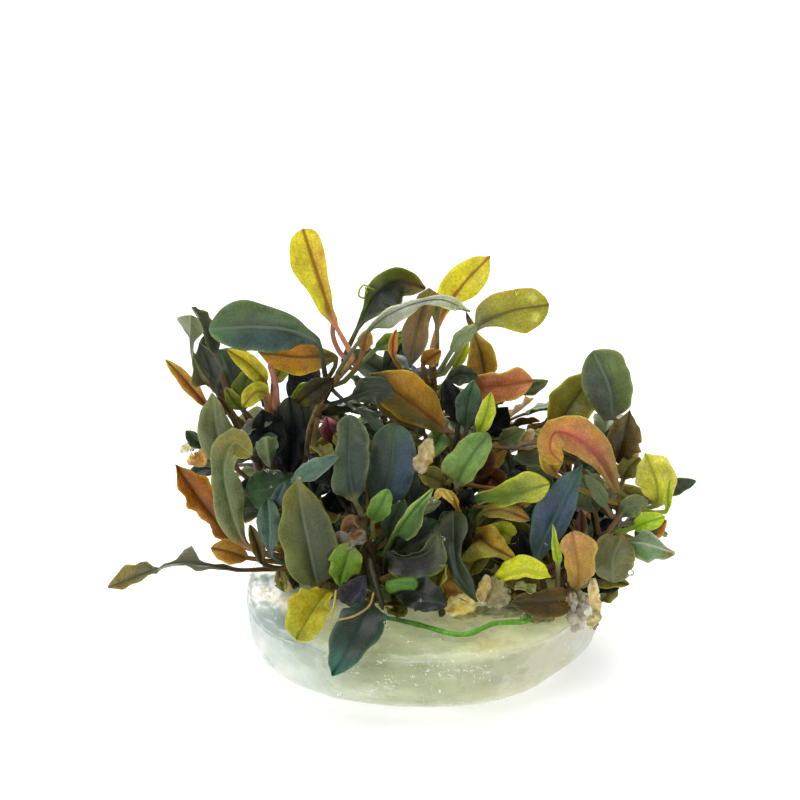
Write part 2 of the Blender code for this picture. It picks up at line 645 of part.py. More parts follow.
def as_mesh(tube):
    """A tube as a welded mesh object of the same name, so that leaves can be joined to it."""
    graph = bpy.context.evaluated_depsgraph_get()
    mesh = bpy.data.meshes.new_from_object(tube.evaluated_get(graph))
    bm = bmesh.new()
    bm.from_mesh(mesh)
    bmesh.ops.remove_doubles(bm, verts=bm.verts, dist=0.00001)
    bmesh.ops.recalc_face_normals(bm, faces=bm.faces)
    bm.to_mesh(mesh)
    bm.free()
    name = tube.name
    collection = tube.users_collection[0]
    bpy.data.objects.remove(tube)
    mesh.name = name
    made = bpy.data.objects.new(name, mesh)
    collection.objects.link(made)
    return made


def add_gel(collection):
    """The gel: a turned disc, a little out of round, with a round lower edge that is wider at the front."""
    profile = [
        (0.0, GEL_HEIGHT), (GEL_RADIUS - 1.6, GEL_HEIGHT), (GEL_RADIUS - 0.1, GEL_HEIGHT - 1.4),
        (GEL_RADIUS, GEL_HEIGHT * 0.55), (GEL_RADIUS - 0.9, GEL_HEIGHT * 0.26),
        (GEL_RADIUS - 2.6, GEL_HEIGHT * 0.08), (GEL_RADIUS - 4.6, 0.0), (0.0, 0.0),
    ]
    mesh = bpy.data.meshes.new("turned_gel")
    points = [(x * MM, 0.0, z * MM) for x, z in profile]
    mesh.from_pydata(points, [(i, i + 1) for i in range(len(points) - 1)], [])
    turned = bpy.data.objects.new("turned_gel", mesh)
    collection.objects.link(turned)
    screw = turned.modifiers.new("turn", "SCREW")
    screw.steps = GEL_STEPS
    screw.render_steps = GEL_STEPS
    screw.use_merge_vertices = True
    screw.merge_threshold = 0.00005
    bpy.context.view_layer.update()
    solid = bpy.data.meshes.new_from_object(turned.evaluated_get(bpy.context.evaluated_depsgraph_get()))
    bpy.data.objects.remove(turned)
    for vertex in solid.vertices:
        around = math.atan2(vertex.co.y, vertex.co.x)
        rim = math.hypot(vertex.co.x, vertex.co.y) / (GEL_RADIUS * MM)
        uneven = 0.008 * math.sin(2 * around + 0.6) + 0.006 * math.sin(5 * around)
        uneven += 0.004 * math.sin(9 * around + 1.0)
        chip = 0.045 * math.exp(-(((around + 0.5) / 0.2) ** 2)) * (1.0 - vertex.co.z / (GEL_HEIGHT * MM))
        factor = 1.0 + (uneven - chip) * rim * rim
        vertex.co.x *= factor
        vertex.co.y *= factor
        if vertex.co.y < 0.0:
            low = min(max(1.0 - vertex.co.z / (GEL_HEIGHT * MM) / 0.3, 0.0), 1.0)
            vertex.co.y *= 1.0 - FRONT_BEVEL * low * low * (3.0 - 2.0 * low)
    return add_object("gel_disc", solid, collection, "gel", 0.1)


def new_collection(name):
    collection = bpy.data.collections.new(name)
    bpy.context.scene.collection.children.link(collection)
    return collection


def stem_ways():
    """Each stem's smooth way, by its name."""
    ways = {name: smooth_way(points, 2) for name, points in STEMS.items()}
    parent, share = BRANCH_FROM
    start, out = beside(ways[parent], share, BRANCH_POINTS[0], GAP)
    ways[BRANCH] = smooth_way([start, start + out * SHEATH_LENGTH] + BRANCH_POINTS, 2)
    return ways


def join_leaves(stem, leaves, way, helpers):
    """Grows the leaves together with their stem: each starts inside it.

    A twisted leaf may cross itself, which the exact solver leaves open, so the union is the manifold one.
    """
    for leaf in leaves:
        leaf.grid = FUSED
        made = add_leaf(leaf, way, helpers, clear=-STEM_TIP_RADIUS / 2)
        made.hide_render = True
        made.display_type = "WIRE"
        union = stem.modifiers.new(leaf.name, "BOOLEAN")
        union.operation = "UNION"
        union.object = made
        union.material_mode = "TRANSFER"
        union.solver = "MANIFOLD"


def main():
    for left_over in list(bpy.data.objects):
        bpy.data.objects.remove(left_over)
    parts = new_collection("bucephalandra")
    helpers = new_collection("joined_leaves")
    helpers.hide_render = True

    add_gel(parts)
    root = [Vector((x, y, GEL_HEIGHT + over)) for x, y, over in ROOT_POINTS]
    add_tube("root", root, ROOT_RADIUS, ROOT_RADIUS, parts, "root")
    ways = stem_ways()
    for leaf in LEAVES:
        add_leaf(leaf, ways[leaf.stem], parts)
    tubes = {
        name: add_tube(name, way, STEM_RADIUS, STEM_TIP_RADIUS, parts, "stem") for name, way in ways.items()
    }
    bpy.context.view_layer.update()
    grown = SMALL_LEAVES + fill_leaves(ways, FILL_COUNT) + BACK_LEAVES
    for name, tube in tubes.items():
        join_leaves(as_mesh(tube), [leaf for leaf in grown if leaf.stem == name], ways[name], helpers)


main()
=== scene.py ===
"""The looks of a clump of bucephalandra on its disc of gel: leaves, stems, gel, droplets and dead flakes.

Sizes are millimetres until a mesh is made, in the frame of the solids: X is right, Y is away from the
viewer, Z is up, and the origin is the middle of the gel's flat underside. Stems and leaves are placed as
they are seen from the front: how far right of the origin and how far up from it they show, and how deep
they stand.
"""

import math
import random
from dataclasses import dataclass, replace

import bpy
from mathutils import Matrix, Vector, noise
from mathutils.bvhtree import BVHTree

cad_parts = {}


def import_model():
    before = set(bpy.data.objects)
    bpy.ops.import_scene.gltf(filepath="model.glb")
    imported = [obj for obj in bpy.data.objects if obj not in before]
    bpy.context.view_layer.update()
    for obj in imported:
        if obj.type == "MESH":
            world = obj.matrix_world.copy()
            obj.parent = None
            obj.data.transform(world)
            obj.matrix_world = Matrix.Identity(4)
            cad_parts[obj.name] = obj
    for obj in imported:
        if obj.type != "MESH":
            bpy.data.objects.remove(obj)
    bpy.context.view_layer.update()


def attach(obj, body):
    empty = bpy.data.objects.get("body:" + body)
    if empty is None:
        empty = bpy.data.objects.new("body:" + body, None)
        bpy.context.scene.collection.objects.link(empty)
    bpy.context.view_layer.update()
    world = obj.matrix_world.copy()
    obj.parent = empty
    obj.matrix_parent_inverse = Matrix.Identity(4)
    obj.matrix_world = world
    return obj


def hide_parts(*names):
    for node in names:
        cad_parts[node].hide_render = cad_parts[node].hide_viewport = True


MM = 0.001

# The disc of gel, how many rings its top has, and how many points each ring has
GEL_RADIUS = 35.0
GEL_HEIGHT = 14.6
FRONT_BEVEL = 0.13
GEL_TOP_RINGS = 34
GEL_STEPS = 260

# How far the gel's underside stands off the floor, so that the floor's light enters it
GEL_LIFT = 0.15

# Where round its rim the gel has a chip and a broken stretch, as angles from X
CHIP_AROUND = -0.62
BROKEN_AROUND = math.radians(206)

# The gel's side from its top to its underside: how far inside its radius it runs, and how high
GEL_SIDE = [
    (1.6, GEL_HEIGHT), (0.7, GEL_HEIGHT - 0.35), (0.1, GEL_HEIGHT - 1.4), (0.0, GEL_HEIGHT * 0.55),
    (0.9, GEL_HEIGHT * 0.26), (2.6, GEL_HEIGHT * 0.08), (4.6, 0.0),
]

# Plant sizes
GAP = 0.3
STEM_RADIUS = 1.05
STEM_TIP_RADIUS = 0.75
SHEATH_LENGTH = 1.2
STALK_WIDTH = 1.1
TIP_WIDTH = 0.5
ROOT_RADIUS = 0.5

# Where the photograph's view is taken from: the eye looks down at TILT on AIM, from DISTANCE away
TILT = math.radians(22.0)
DISTANCE = 600.0
AIM = Vector((-4.6, 18.4, 45.4))
EYE = AIM + DISTANCE * Vector((0.0, -math.cos(TILT), math.sin(TILT)))
SEEN_UP = Vector((0.0, math.sin(TILT), math.cos(TILT)))
SEEN_AWAY = Vector((0.0, math.cos(TILT), -math.sin(TILT)))
LENS = 135.0
SENSOR = 36.0

# The coarse net of a leaf, which tests what it touches, and how many of its points are the stalk's
NET_ROWS = 7
NET_COLUMNS = 2
STALK_SHARE = 0.25
NET_STALK_POINTS = 9

# Small leaves that fill the room between the placed ones: the first ones are those of the solids
FILL_SEED = 11
FILL_COUNT = 22
FILL_TRIES = 6000
FILL_LENGTH = (13.0, 21.0)
FILL_SHAPE = (0.36, 0.48)
FILL_RISE = (-20.0, 65.0)
FILL_DROOP = (0.0, 0.3)
FILL_CLEAR = 1.0
FILL_BACK = 38.0
FILL_COLOURS = ("dark", "blue", "green", "olive", "grey", "amber")

# More leaves close the gaps that the front would show, then cover the clump all round
GAP_SEED = 23
GAP_COUNT = 150
GAP_TRIES = 9000
SHELL_SEED = 31
SHELL_COUNT = 110
SHELL_TRIES = 9000
MORE_LENGTH = (8.0, 15.0)
MORE_SHAPE = (0.36, 0.52)
MORE_CLEAR = 0.25
DETAIL_CLEAR = 0.05
# Dark and black come most often: partly the leaves' own colour, partly painted shade deep in the clump
MORE_COLOURS = (
    "dark", "dark", "black", "black", "blue", "blue", "grey", "olive", "olive", "green", "brown", "brown",
    "red", "amber",
)
CLUMP_MIDDLE = Vector((1.0, 2.0, 22.0))
CLUMP_REACH = Vector((46.0, 34.0, 38.0))

# Where on a stem they may start, and how far off their middle may be, at best and within limits
REACH_SHARES = (0.12, 0.25, 0.4, 0.55, 0.7, 0.85, 0.97)
REACH_WANTED = 8.0
REACH_LEAST = 3.5
REACH_MOST = 26.0

# How far past a place the line of sight is followed, and how far off an eye outside the clump stands
SIGHT_PAST = 60.0
SIGHT_FROM = 200.0

# Rows of a fine leaf's stalk and blade, and where its columns stand from one edge to the other
LEAF_ROWS = (7, 30)
SMALL_ROWS = (4, 20)
SIDES = (
    -1.0, -0.965, -0.87, -0.72, -0.54, -0.36, -0.2, -0.08, 0.0, 0.08, 0.2, 0.36, 0.54, 0.72, 0.87, 0.965, 1.0,
)

# How far off its stem's skin a fine stalk starts, which is under the skin
STALK_START = -0.35
SMALL_STALK_START = -0.5

# What a fine blade's half width adds to that of its tip toward its base, and that of its tip, at least
BASE_HALF = 0.36
TIP_HALF = 0.12

# How far a fine blade bends, how far its sides wave and its middle is dented, how deep and half how wide the
# groove over its midrib is, and the arch of either half as a share of its width
BEND = 0.5
SIDE_WAVE = 1.5
DENT = 0.35
GROOVE = 0.16
GROOVE_HALF = 0.35
ARCH = 0.13

# Half a blade's thickness, and how much the midrib adds above and below and half its width
EDGE_HALF = 0.09
RIB_TOP = 0.05
RIB_UNDER = 0.26
RIB_HALF = 0.75

# How far the edge of a blade stands in and out along it, and how often
RUFFLE = 0.20
RUFFLE_TURNS = 17.0

# Half a fine stalk's thickness, its share of the solid one's width, and how much more both are at its foot
STALK_HALF = 0.30
FINE_STALK = 0.82
STALK_FLARE = 0.25

# A stem's rings: how far apart they and the old leaf scars are, and how wide and high a scar's ridge is
STEM_RING_SPACING = 0.45
SCAR_SPACING = 2.4
SCAR_WIDTH = 0.11
SCAR_RIDGE = 0.13

# How many steps make up each stretch of a smooth way
STEM_STEPS = 2
FINE_STEM_STEPS = 6
FINE_LEAF_STEPS = 20
GEL_SIDE_STEPS = 7
ROOT_STEPS = 10
FLAKE_STEPS = 6
THREAD_STEPS = 6
CURL_STEPS = 5
CHIP_STEPS = 3

# How fine the round pieces and the scraps are: rings and sides, or rows and columns
STEM_SIDES = 14
ROOT_RINGS = 90
ROOT_SIDES = 14
DROP_FINENESS = (9, 14)
LUMP_FINENESS = (18, 28)
FLAKE_FINENESS = (16, 10)
LITTER_FINENESS = (8, 6)


@dataclass
class Leaf:
    """One leaf: where its stalk leaves the stem, and its blade's way from base to tip."""

    name: str
    stem: str
    at: float
    blade: list
    width: float
    colour: str
    widest: float = 0.5
    blunt: float = 0.6
    taper: float = 0.75
    roll: tuple = (0.0, 0.0)
    fold: float = 12.0
    cup: float = 0.0
    wave: float = 0.0
    waves: float = 2.0
    faces: Vector = None


def seen(across, up, depth):
    """The point at this depth that shows this far right of and up from the origin."""
    flat = Vector((across, up * math.sin(TILT), up * math.cos(TILT)))
    ray = flat - EYE
    return EYE + ray * ((depth - EYE.y) / ray.y)


def shown(point):
    """How far right of and up from the origin a point shows: the reverse of seen."""
    ray = point - EYE
    scale = DISTANCE / ray.dot(SEEN_AWAY)
    return AIM.x + ray.x * scale, AIM.dot(SEEN_UP) + ray.dot(SEEN_UP) * scale


def front(*points):
    """The points that show at these places, each given as seen takes it."""
    return [seen(*point) for point in points]


# Half widths of a blade's two sides as the front shows them, in nine even steps from base to tip. The first
# side is the viewer's left of a leaf that points up, so it is the upper side of one that points right.
OUTLINES = {
    "leaf_dark_top_left": (
        (0.8, 2.2, 3.8, 4.5, 4.9, 5.0, 4.6, 3.6, 2.4),
        (0.8, 1.4, 2.6, 3.4, 4.4, 5.0, 5.2, 4.4, 2.4),
    ),
    "leaf_amber_left": (
        (0.7, 1.8, 2.8, 3.4, 3.6, 3.4, 2.9, 2.0, 0.4),
        (0.7, 1.5, 2.3, 2.8, 3.0, 2.9, 2.4, 1.6, 0.4),
    ),
    "leaf_twisted_far_left": (
        (0.6, 2.8, 3.4, 1.8, 1.0, 1.2, 2.0, 2.5, 2.0),
        (0.6, 1.0, 1.2, 0.8, 0.8, 1.8, 3.3, 4.0, 2.8),
    ),
    "leaf_sage_left": (
        (0.6, 1.9, 2.9, 3.7, 4.0, 3.8, 3.2, 2.3, 1.1),
        (0.6, 2.1, 3.3, 3.8, 3.6, 3.0, 2.3, 1.7, 1.0),
    ),
    "leaf_black_upright": (
        (0.8, 1.8, 2.3, 2.6, 2.8, 2.9, 2.7, 2.6, 2.0),
        (0.8, 1.6, 2.2, 2.5, 2.7, 2.8, 2.7, 2.6, 2.0),
    ),
    "leaf_sage_yellow_tip": (
        (0.7, 2.3, 3.2, 3.4, 2.9, 2.5, 3.6, 3.4, 2.9),
        (0.7, 1.4, 2.2, 3.3, 3.0, 2.1, 2.2, 2.9, 2.9),
    ),
    "leaf_orange_left": (
        (0.6, 1.5, 2.1, 1.9, 2.3, 2.6, 2.3, 2.1, 0.7),
        (0.6, 1.8, 2.8, 3.5, 3.9, 3.9, 3.3, 2.2, 0.6),
    ),
    "leaf_long_left": (
        (0.4, 0.7, 1.4, 0.6, 1.9, 0.8, 1.9, 1.8, 0.5),
        (0.4, 0.5, 0.6, 2.2, 0.7, 0.7, 2.3, 2.6, 1.2),
    ),
    "leaf_glossy_dark": (
        (0.8, 2.2, 3.1, 3.8, 4.2, 4.4, 4.2, 3.4, 1.8),
        (0.8, 2.0, 3.0, 3.6, 4.0, 4.0, 3.8, 3.2, 1.8),
    ),
    "leaf_front_big": (
        (0.8, 3.6, 4.7, 5.2, 5.2, 5.1, 4.0, 3.1, 0.3),
        (0.8, 3.5, 4.8, 5.6, 5.2, 5.1, 3.9, 2.4, 0.3),
    ),
    "leaf_bright_green": (
        (0.7, 1.4, 2.1, 2.7, 3.1, 3.3, 3.2, 2.9, 1.8),
        (0.7, 1.3, 1.9, 2.5, 3.0, 3.2, 3.2, 2.9, 1.8),
    ),
    "leaf_over_rim_yellow": (
        (0.7, 1.3, 1.9, 2.4, 3.0, 3.3, 3.4, 3.3, 2.2),
        (0.8, 2.2, 3.3, 4.2, 4.7, 4.8, 4.4, 3.7, 2.4),
    ),
    "leaf_over_rim_dark": (
        (0.9, 2.4, 3.7, 4.3, 4.1, 3.5, 2.8, 2.0, 0.6),
        (0.9, 2.0, 3.2, 4.2, 4.6, 4.4, 3.6, 2.4, 0.6),
    ),
    "leaf_upright_centre": (
        (1.4, 3.2, 3.9, 3.4, 2.8, 2.5, 2.5, 2.7, 2.2),
        (1.2, 2.7, 3.2, 3.7, 4.1, 4.2, 3.9, 3.3, 2.3),
    ),
    "leaf_round_centre": (
        (0.8, 2.6, 3.8, 4.3, 4.4, 4.5, 4.4, 4.0, 3.0),
        (0.8, 2.6, 4.0, 4.6, 4.7, 4.6, 4.4, 3.9, 3.0),
    ),
    "leaf_cupped_dark": (
        (0.6, 0.9, 0.7, 0.6, 0.8, 1.2, 1.27, 0.77, 0.18),
        (0.8, 2.6, 3.7, 4.1, 4.4, 4.6, 3.65, 2.03, 0.24),
    ),
    "leaf_olive_star": (
        (2.0, 3.0, 3.5, 3.5, 3.2, 2.6, 2.0, 1.3, 0.3),
        (2.8, 5.4, 6.0, 4.4, 2.6, 1.8, 1.3, 0.9, 0.3),
    ),
    "leaf_lime_front": (
        (0.6, 1.7, 2.6, 3.1, 3.3, 3.2, 2.8, 2.0, 0.4),
        (0.6, 0.8, 1.0, 1.1, 1.1, 1.1, 1.0, 0.8, 0.3),
    ),
    "leaf_lime_right": (
        (0.8, 1.2, 1.6, 2.0, 2.3, 3.0, 3.7, 3.5, 1.9),
        (0.8, 0.9, 1.3, 1.7, 2.0, 2.2, 2.5, 2.8, 1.8),
    ),
    "leaf_mid_green": (
        (0.6, 2.8, 4.0, 4.1, 3.8, 3.6, 3.2, 2.7, 1.6),
        (0.6, 1.6, 2.4, 2.8, 2.9, 2.9, 2.7, 2.3, 1.5),
    ),
    "leaf_amber_centre": (
        (0.8, 2.0, 3.1, 3.7, 4.0, 3.9, 3.5, 2.4, 0.6),
        (0.8, 2.4, 3.8, 4.7, 5.1, 5.0, 4.4, 3.1, 0.8),
    ),
    "leaf_tall_yellow": (
        (0.9, 2.0, 2.5, 3.0, 4.0, 4.6, 4.4, 4.0, 3.4),
        (0.9, 0.9, 1.3, 1.6, 1.9, 2.3, 2.7, 2.9, 3.0),
    ),
    "leaf_curled_top": (
        (0.6, 0.9, 1.6, 2.6, 3.4, 3.5, 3.1, 2.3, 0.9),
        (0.8, 2.6, 4.4, 5.2, 4.8, 3.9, 3.0, 2.1, 0.8),
    ),
    "leaf_arching": (
        (0.6, 1.2, 1.5, 1.3, 1.1, 1.0, 1.0, 0.9, 0.3),
        (0.6, 2.1, 2.3, 1.6, 1.3, 1.2, 1.2, 1.0, 0.3),
    ),
    "leaf_yellow_right": (
        (1.0, 2.2, 3.2, 3.9, 3.9, 3.6, 3.1, 2.3, 0.5),
        (0.5, 0.6, 1.1, 2.3, 3.2, 3.5, 3.2, 2.3, 0.5),
    ),
    "leaf_olive_oval": (
        (0.8, 3.0, 4.0, 4.3, 4.2, 4.1, 3.9, 3.5, 2.6),
        (0.8, 1.2, 2.0, 2.8, 4.4, 4.9, 4.5, 3.9, 2.8),
    ),
    "leaf_hanging_dark": (
        (0.8, 1.7, 2.0, 2.1, 2.3, 2.7, 2.5, 1.6, 0.3),
        (0.8, 1.7, 2.0, 2.1, 2.3, 2.7, 2.5, 1.6, 0.3),
    ),
    "leaf_orange_right": (
        (0.8, 2.2, 3.0, 3.0, 2.5, 2.9, 3.3, 3.0, 1.7),
        (0.8, 1.8, 2.6, 3.1, 3.3, 3.2, 2.8, 2.2, 1.4),
    ),
    "leaf_olive_upright": (
        (1.6, 2.9, 3.2, 3.1, 2.2, 1.1, 0.8, 0.7, 0.5),
        (1.6, 2.7, 3.0, 3.0, 2.4, 1.1, 0.8, 0.7, 0.5),
    ),
    "leaf_upright_right": (
        (2.0, 3.7, 4.6, 5.0, 5.1, 5.0, 4.5, 3.6, 2.3),
        (2.0, 3.5, 4.1, 4.5, 4.7, 4.8, 4.9, 4.4, 2.7),
    ),
    "leaf_pink_folded": (
        (0.8, 1.4, 2.0, 2.7, 3.2, 3.4, 2.8, 2.8, 2.4),
        (0.8, 1.7, 2.7, 3.5, 4.0, 4.2, 2.8, 2.8, 2.4),
    ),
    "leaf_pale_lime": (
        (0.8, 2.0, 3.0, 3.6, 3.9, 3.9, 3.3, 2.3, 0.7),
        (0.8, 2.4, 3.4, 3.9, 4.1, 4.0, 3.6, 2.8, 1.1),
    ),
    "leaf_round_olive": (
        (0.8, 2.9, 3.8, 4.2, 4.3, 4.1, 3.8, 3.2, 1.8),
        (0.8, 2.6, 3.5, 4.0, 4.1, 3.9, 3.4, 2.8, 1.5),
    ),
    "leaf_orange_front": (
        (0.8, 1.6, 2.2, 2.4, 2.5, 2.6, 2.8, 2.9, 2.9),
        (0.8, 1.8, 2.6, 3.1, 3.5, 3.9, 4.2, 4.0, 2.6),
    ),
    "leaf_blue_right": (
        (0.7, 2.2, 3.3, 4.2, 4.5, 3.8, 3.1, 2.2, 0.4),
        (0.7, 1.8, 2.5, 3.0, 3.1, 2.8, 2.0, 1.5, 0.4),
    ),
    "leaf_brown_lying": (
        (1.6, 2.6, 3.0, 3.2, 3.0, 2.7, 2.1, 1.2, 0.3),
        (1.8, 2.8, 2.9, 2.6, 2.3, 2.2, 1.8, 1.2, 0.3),
    ),
    "leaf_twisted_right": (
        (0.6, 1.2, 2.4, 3.0, 2.4, 1.4, 0.9, 0.9, 0.4),
        (0.6, 2.2, 3.2, 3.4, 3.2, 2.8, 2.1, 1.3, 0.5),
    ),
    "lime_fold": (
        (0.4, 0.6, 0.8, 0.9, 0.8, 0.7, 0.5, 0.4, 0.2),
        (0.4, 0.8, 1.0, 1.0, 0.9, 0.7, 0.5, 0.4, 0.2),
    ),
    "leaf_long_curved": (
        (0.8, 3.2, 3.4, 2.2, 1.4, 2.0, 2.6, 1.6, 0.3),
        (0.8, 3.2, 3.2, 2.2, 1.8, 1.4, 1.2, 0.9, 0.3),
    ),
    "wavy_grey": (
        (0.5, 0.8, 1.2, 1.3, 1.0, 0.7, 1.1, 0.9, 0.2),
        (0.5, 0.9, 1.0, 1.2, 1.6, 1.8, 1.4, 0.9, 0.2),
    ),
    "dark_left": (
        (0.5, 1.2, 1.7, 2.0, 2.0, 1.8, 1.4, 0.9, 0.2),
        (0.5, 1.6, 2.3, 2.6, 2.6, 2.3, 1.8, 1.1, 0.2),
    ),
    "dark_purple": (
        (1.2, 2.6, 2.8, 2.6, 2.4, 2.0, 1.5, 0.9, 0.2),
        (1.2, 2.6, 3.0, 2.8, 2.4, 2.0, 1.5, 0.9, 0.2),
    ),
    "leaf_folded_light": (
        (0.5, 1.0, 1.3, 1.4, 1.4, 1.3, 1.1, 0.8, 0.3),
        (0.6, 2.4, 3.4, 3.6, 3.0, 2.2, 1.6, 1.0, 0.3),
    ),
    "round_dark": (
        (0.8, 2.0, 2.6, 2.8, 2.8, 2.6, 2.2, 1.6, 0.6),
        (0.8, 2.0, 2.6, 2.8, 2.8, 2.6, 2.2, 1.6, 0.6),
    ),
    "crumpled_brown": (
        (0.8, 2.4, 3.2, 2.8, 3.4, 2.9, 2.8, 1.6, 0.3),
        (0.8, 2.0, 2.8, 3.8, 3.3, 3.6, 2.4, 1.5, 0.3),
    ),
}

# Blades whose fine shape runs a little beside their solid's
OWN_WAYS = {
    "dark_left": ((-41.4, 51.4, 2.4), (-43.0, 55.6, 3.0), (-44.8, 60.4, 3.4)),
    "leaf_twisted_far_left": ((-43.0, 52.4, 2.0), (-46.4, 59.0, 0.6), (-46.4, 66.0, 1.6)),
    "dark_purple": ((-15.6, 8.4, -21.0), (-13.6, 10.8, -21.0), (-11.4, 14.0, -20.4)),
    "leaf_brown_lying": ((29.0, 9.0, -17.0), (23.6, 8.4, -19.6), (17.2, 8.6, -22.0)),
    "wavy_grey": ((-29.8, 45.6, 1.0), (-33.2, 44.0, 0.0), (-36.4, 42.6, 0.0)),
    "crumpled_brown": ((38.8, 37.0, 3.0), (40.2, 41.8, 1.5), (41.4, 46.8, 1.0)),
    "leaf_long_curved": ((6.4, 26.6, -9), (6.2, 20, -14), (7.2, 14, -20), (10.8, 8.6, -23)),
    "leaf_pink_folded": (
        (38.8, 31, -4), (36, 36.4, -5), (31.6, 41, -7), (26.4, 42.6, -9.5), (25.4, 39.0, -12),
        (27.6, 36.4, -12.6),
    ),
    "leaf_amber_left": ((-17.4, 57.0, 8), (-25, 57.6, 9), (-33, 58.6, 8)),
    "black_wide": ((-31.6, 37, 0), (-31, 42, 0), (-32, 47, 0)),
}

# The ruffle of blades that have their own: how far its edge stands in and out, and how often
RUFFLES = {
    "leaf_front_big": (0.22, 20.0),
    "leaf_orange_left": (0.42, 33.0),
    "leaf_long_left": (0.42, 42.0),
    "leaf_over_rim_yellow": (0.30, 22.0),
    "leaf_over_rim_dark": (0.22, 20.0),
    "leaf_glossy_dark": (0.26, 26.0),
    "leaf_olive_star": (0.28, 20.0),
    "crumpled_brown": (0.42, 34.0),
    "leaf_amber_centre": (0.24, 18.0),
    "leaf_tall_yellow": (0.08, 17.0),
    "leaf_yellow_right": (0.08, 17.0),
    "leaf_olive_oval": (0.08, 17.0),
    "leaf_upright_right": (0.10, 30.0),
    "leaf_blue_right": (0.10, 17.0),
    "leaf_sage_left": (0.08, 17.0),
    "leaf_round_centre": (0.10, 17.0),
    "leaf_round_olive": (0.12, 24.0),
    "leaf_pink_folded": (0.08, 17.0),
}


def upright(foot, *points):
    """A stem's way: straight up out of the gel at foot, then through points as seen from the front."""
    x, y = foot
    start = [Vector((x, y, GEL_HEIGHT + GAP)), Vector((x, y, GEL_HEIGHT + GAP + 2.0))]
    return start + front(*points)


def creeping(*points):
    """A stem's way along the gel's top, as x, y and its height over the gel."""
    return [Vector((x, y, GEL_HEIGHT + GAP + STEM_RADIUS + over)) for x, y, over in points]


STEMS = {
    "stem_front_left": creeping((-19, 1.5, 0), (-24, 1, 0.2), (-28.5, -0.4, 1)),
    "stem_front": creeping((-2, -13.5, 0.4), (-9, -12, 0.1), (-16, -11, 0.2), (-21, -9, 0.8)),
    "stem_centre": upright((-8, -4), (-9.5, 18, -5), (-11.6, 22, -7), (-12.4, 26, -7)),
    "stem_centre_right": upright((8, 0), (9, 25, -2), (7, 32, -1), (7.4, 41, 1)),
    "stem_left": upright((-25, 6), (-28.5, 28, 6), (-30.4, 38, 5), (-29.6, 47.5, 5)),
    "stem_top_left": upright((-21, 10), (-24, 35, 9), (-19.6, 50, 8), (-14.6, 56.5, 7)),
    "stem_top_right": upright((1, 14), (2.5, 35, 13), (2.2, 48, 12), (1.8, 58, 12)),
    "stem_right_back": upright((26, 8), (31, 27, 8), (36, 37, 6), (38.4, 44, 6)),
    "stem_right": upright((28, -2), (34, 19, -2), (38.4, 24, -3), (40, 29, -3)),
    "stem_right_front": creeping((13, -11, 0.2), (20, -12, 0), (26, -11.5, 0.4), (30, -10, 1.8)),
    "stem_back": upright((-6, 24), (-7, 36, 26), (-8, 47, 27)),
    "stem_back_left": upright((-18, 20), (-24, 34, 24), (-27, 42, 26)),
    "stem_back_right": upright((15, 19), (17, 36, 21), (14, 49, 21)),
}

# The branch grows out of stem_left, so it starts beside it
BRANCH = "stem_far_left"
BRANCH_FROM = ("stem_left", 0.62)
BRANCH_POINTS = front((-34.5, 42, 4), (-38.2, 46, 3), (-39.6, 49, 3))

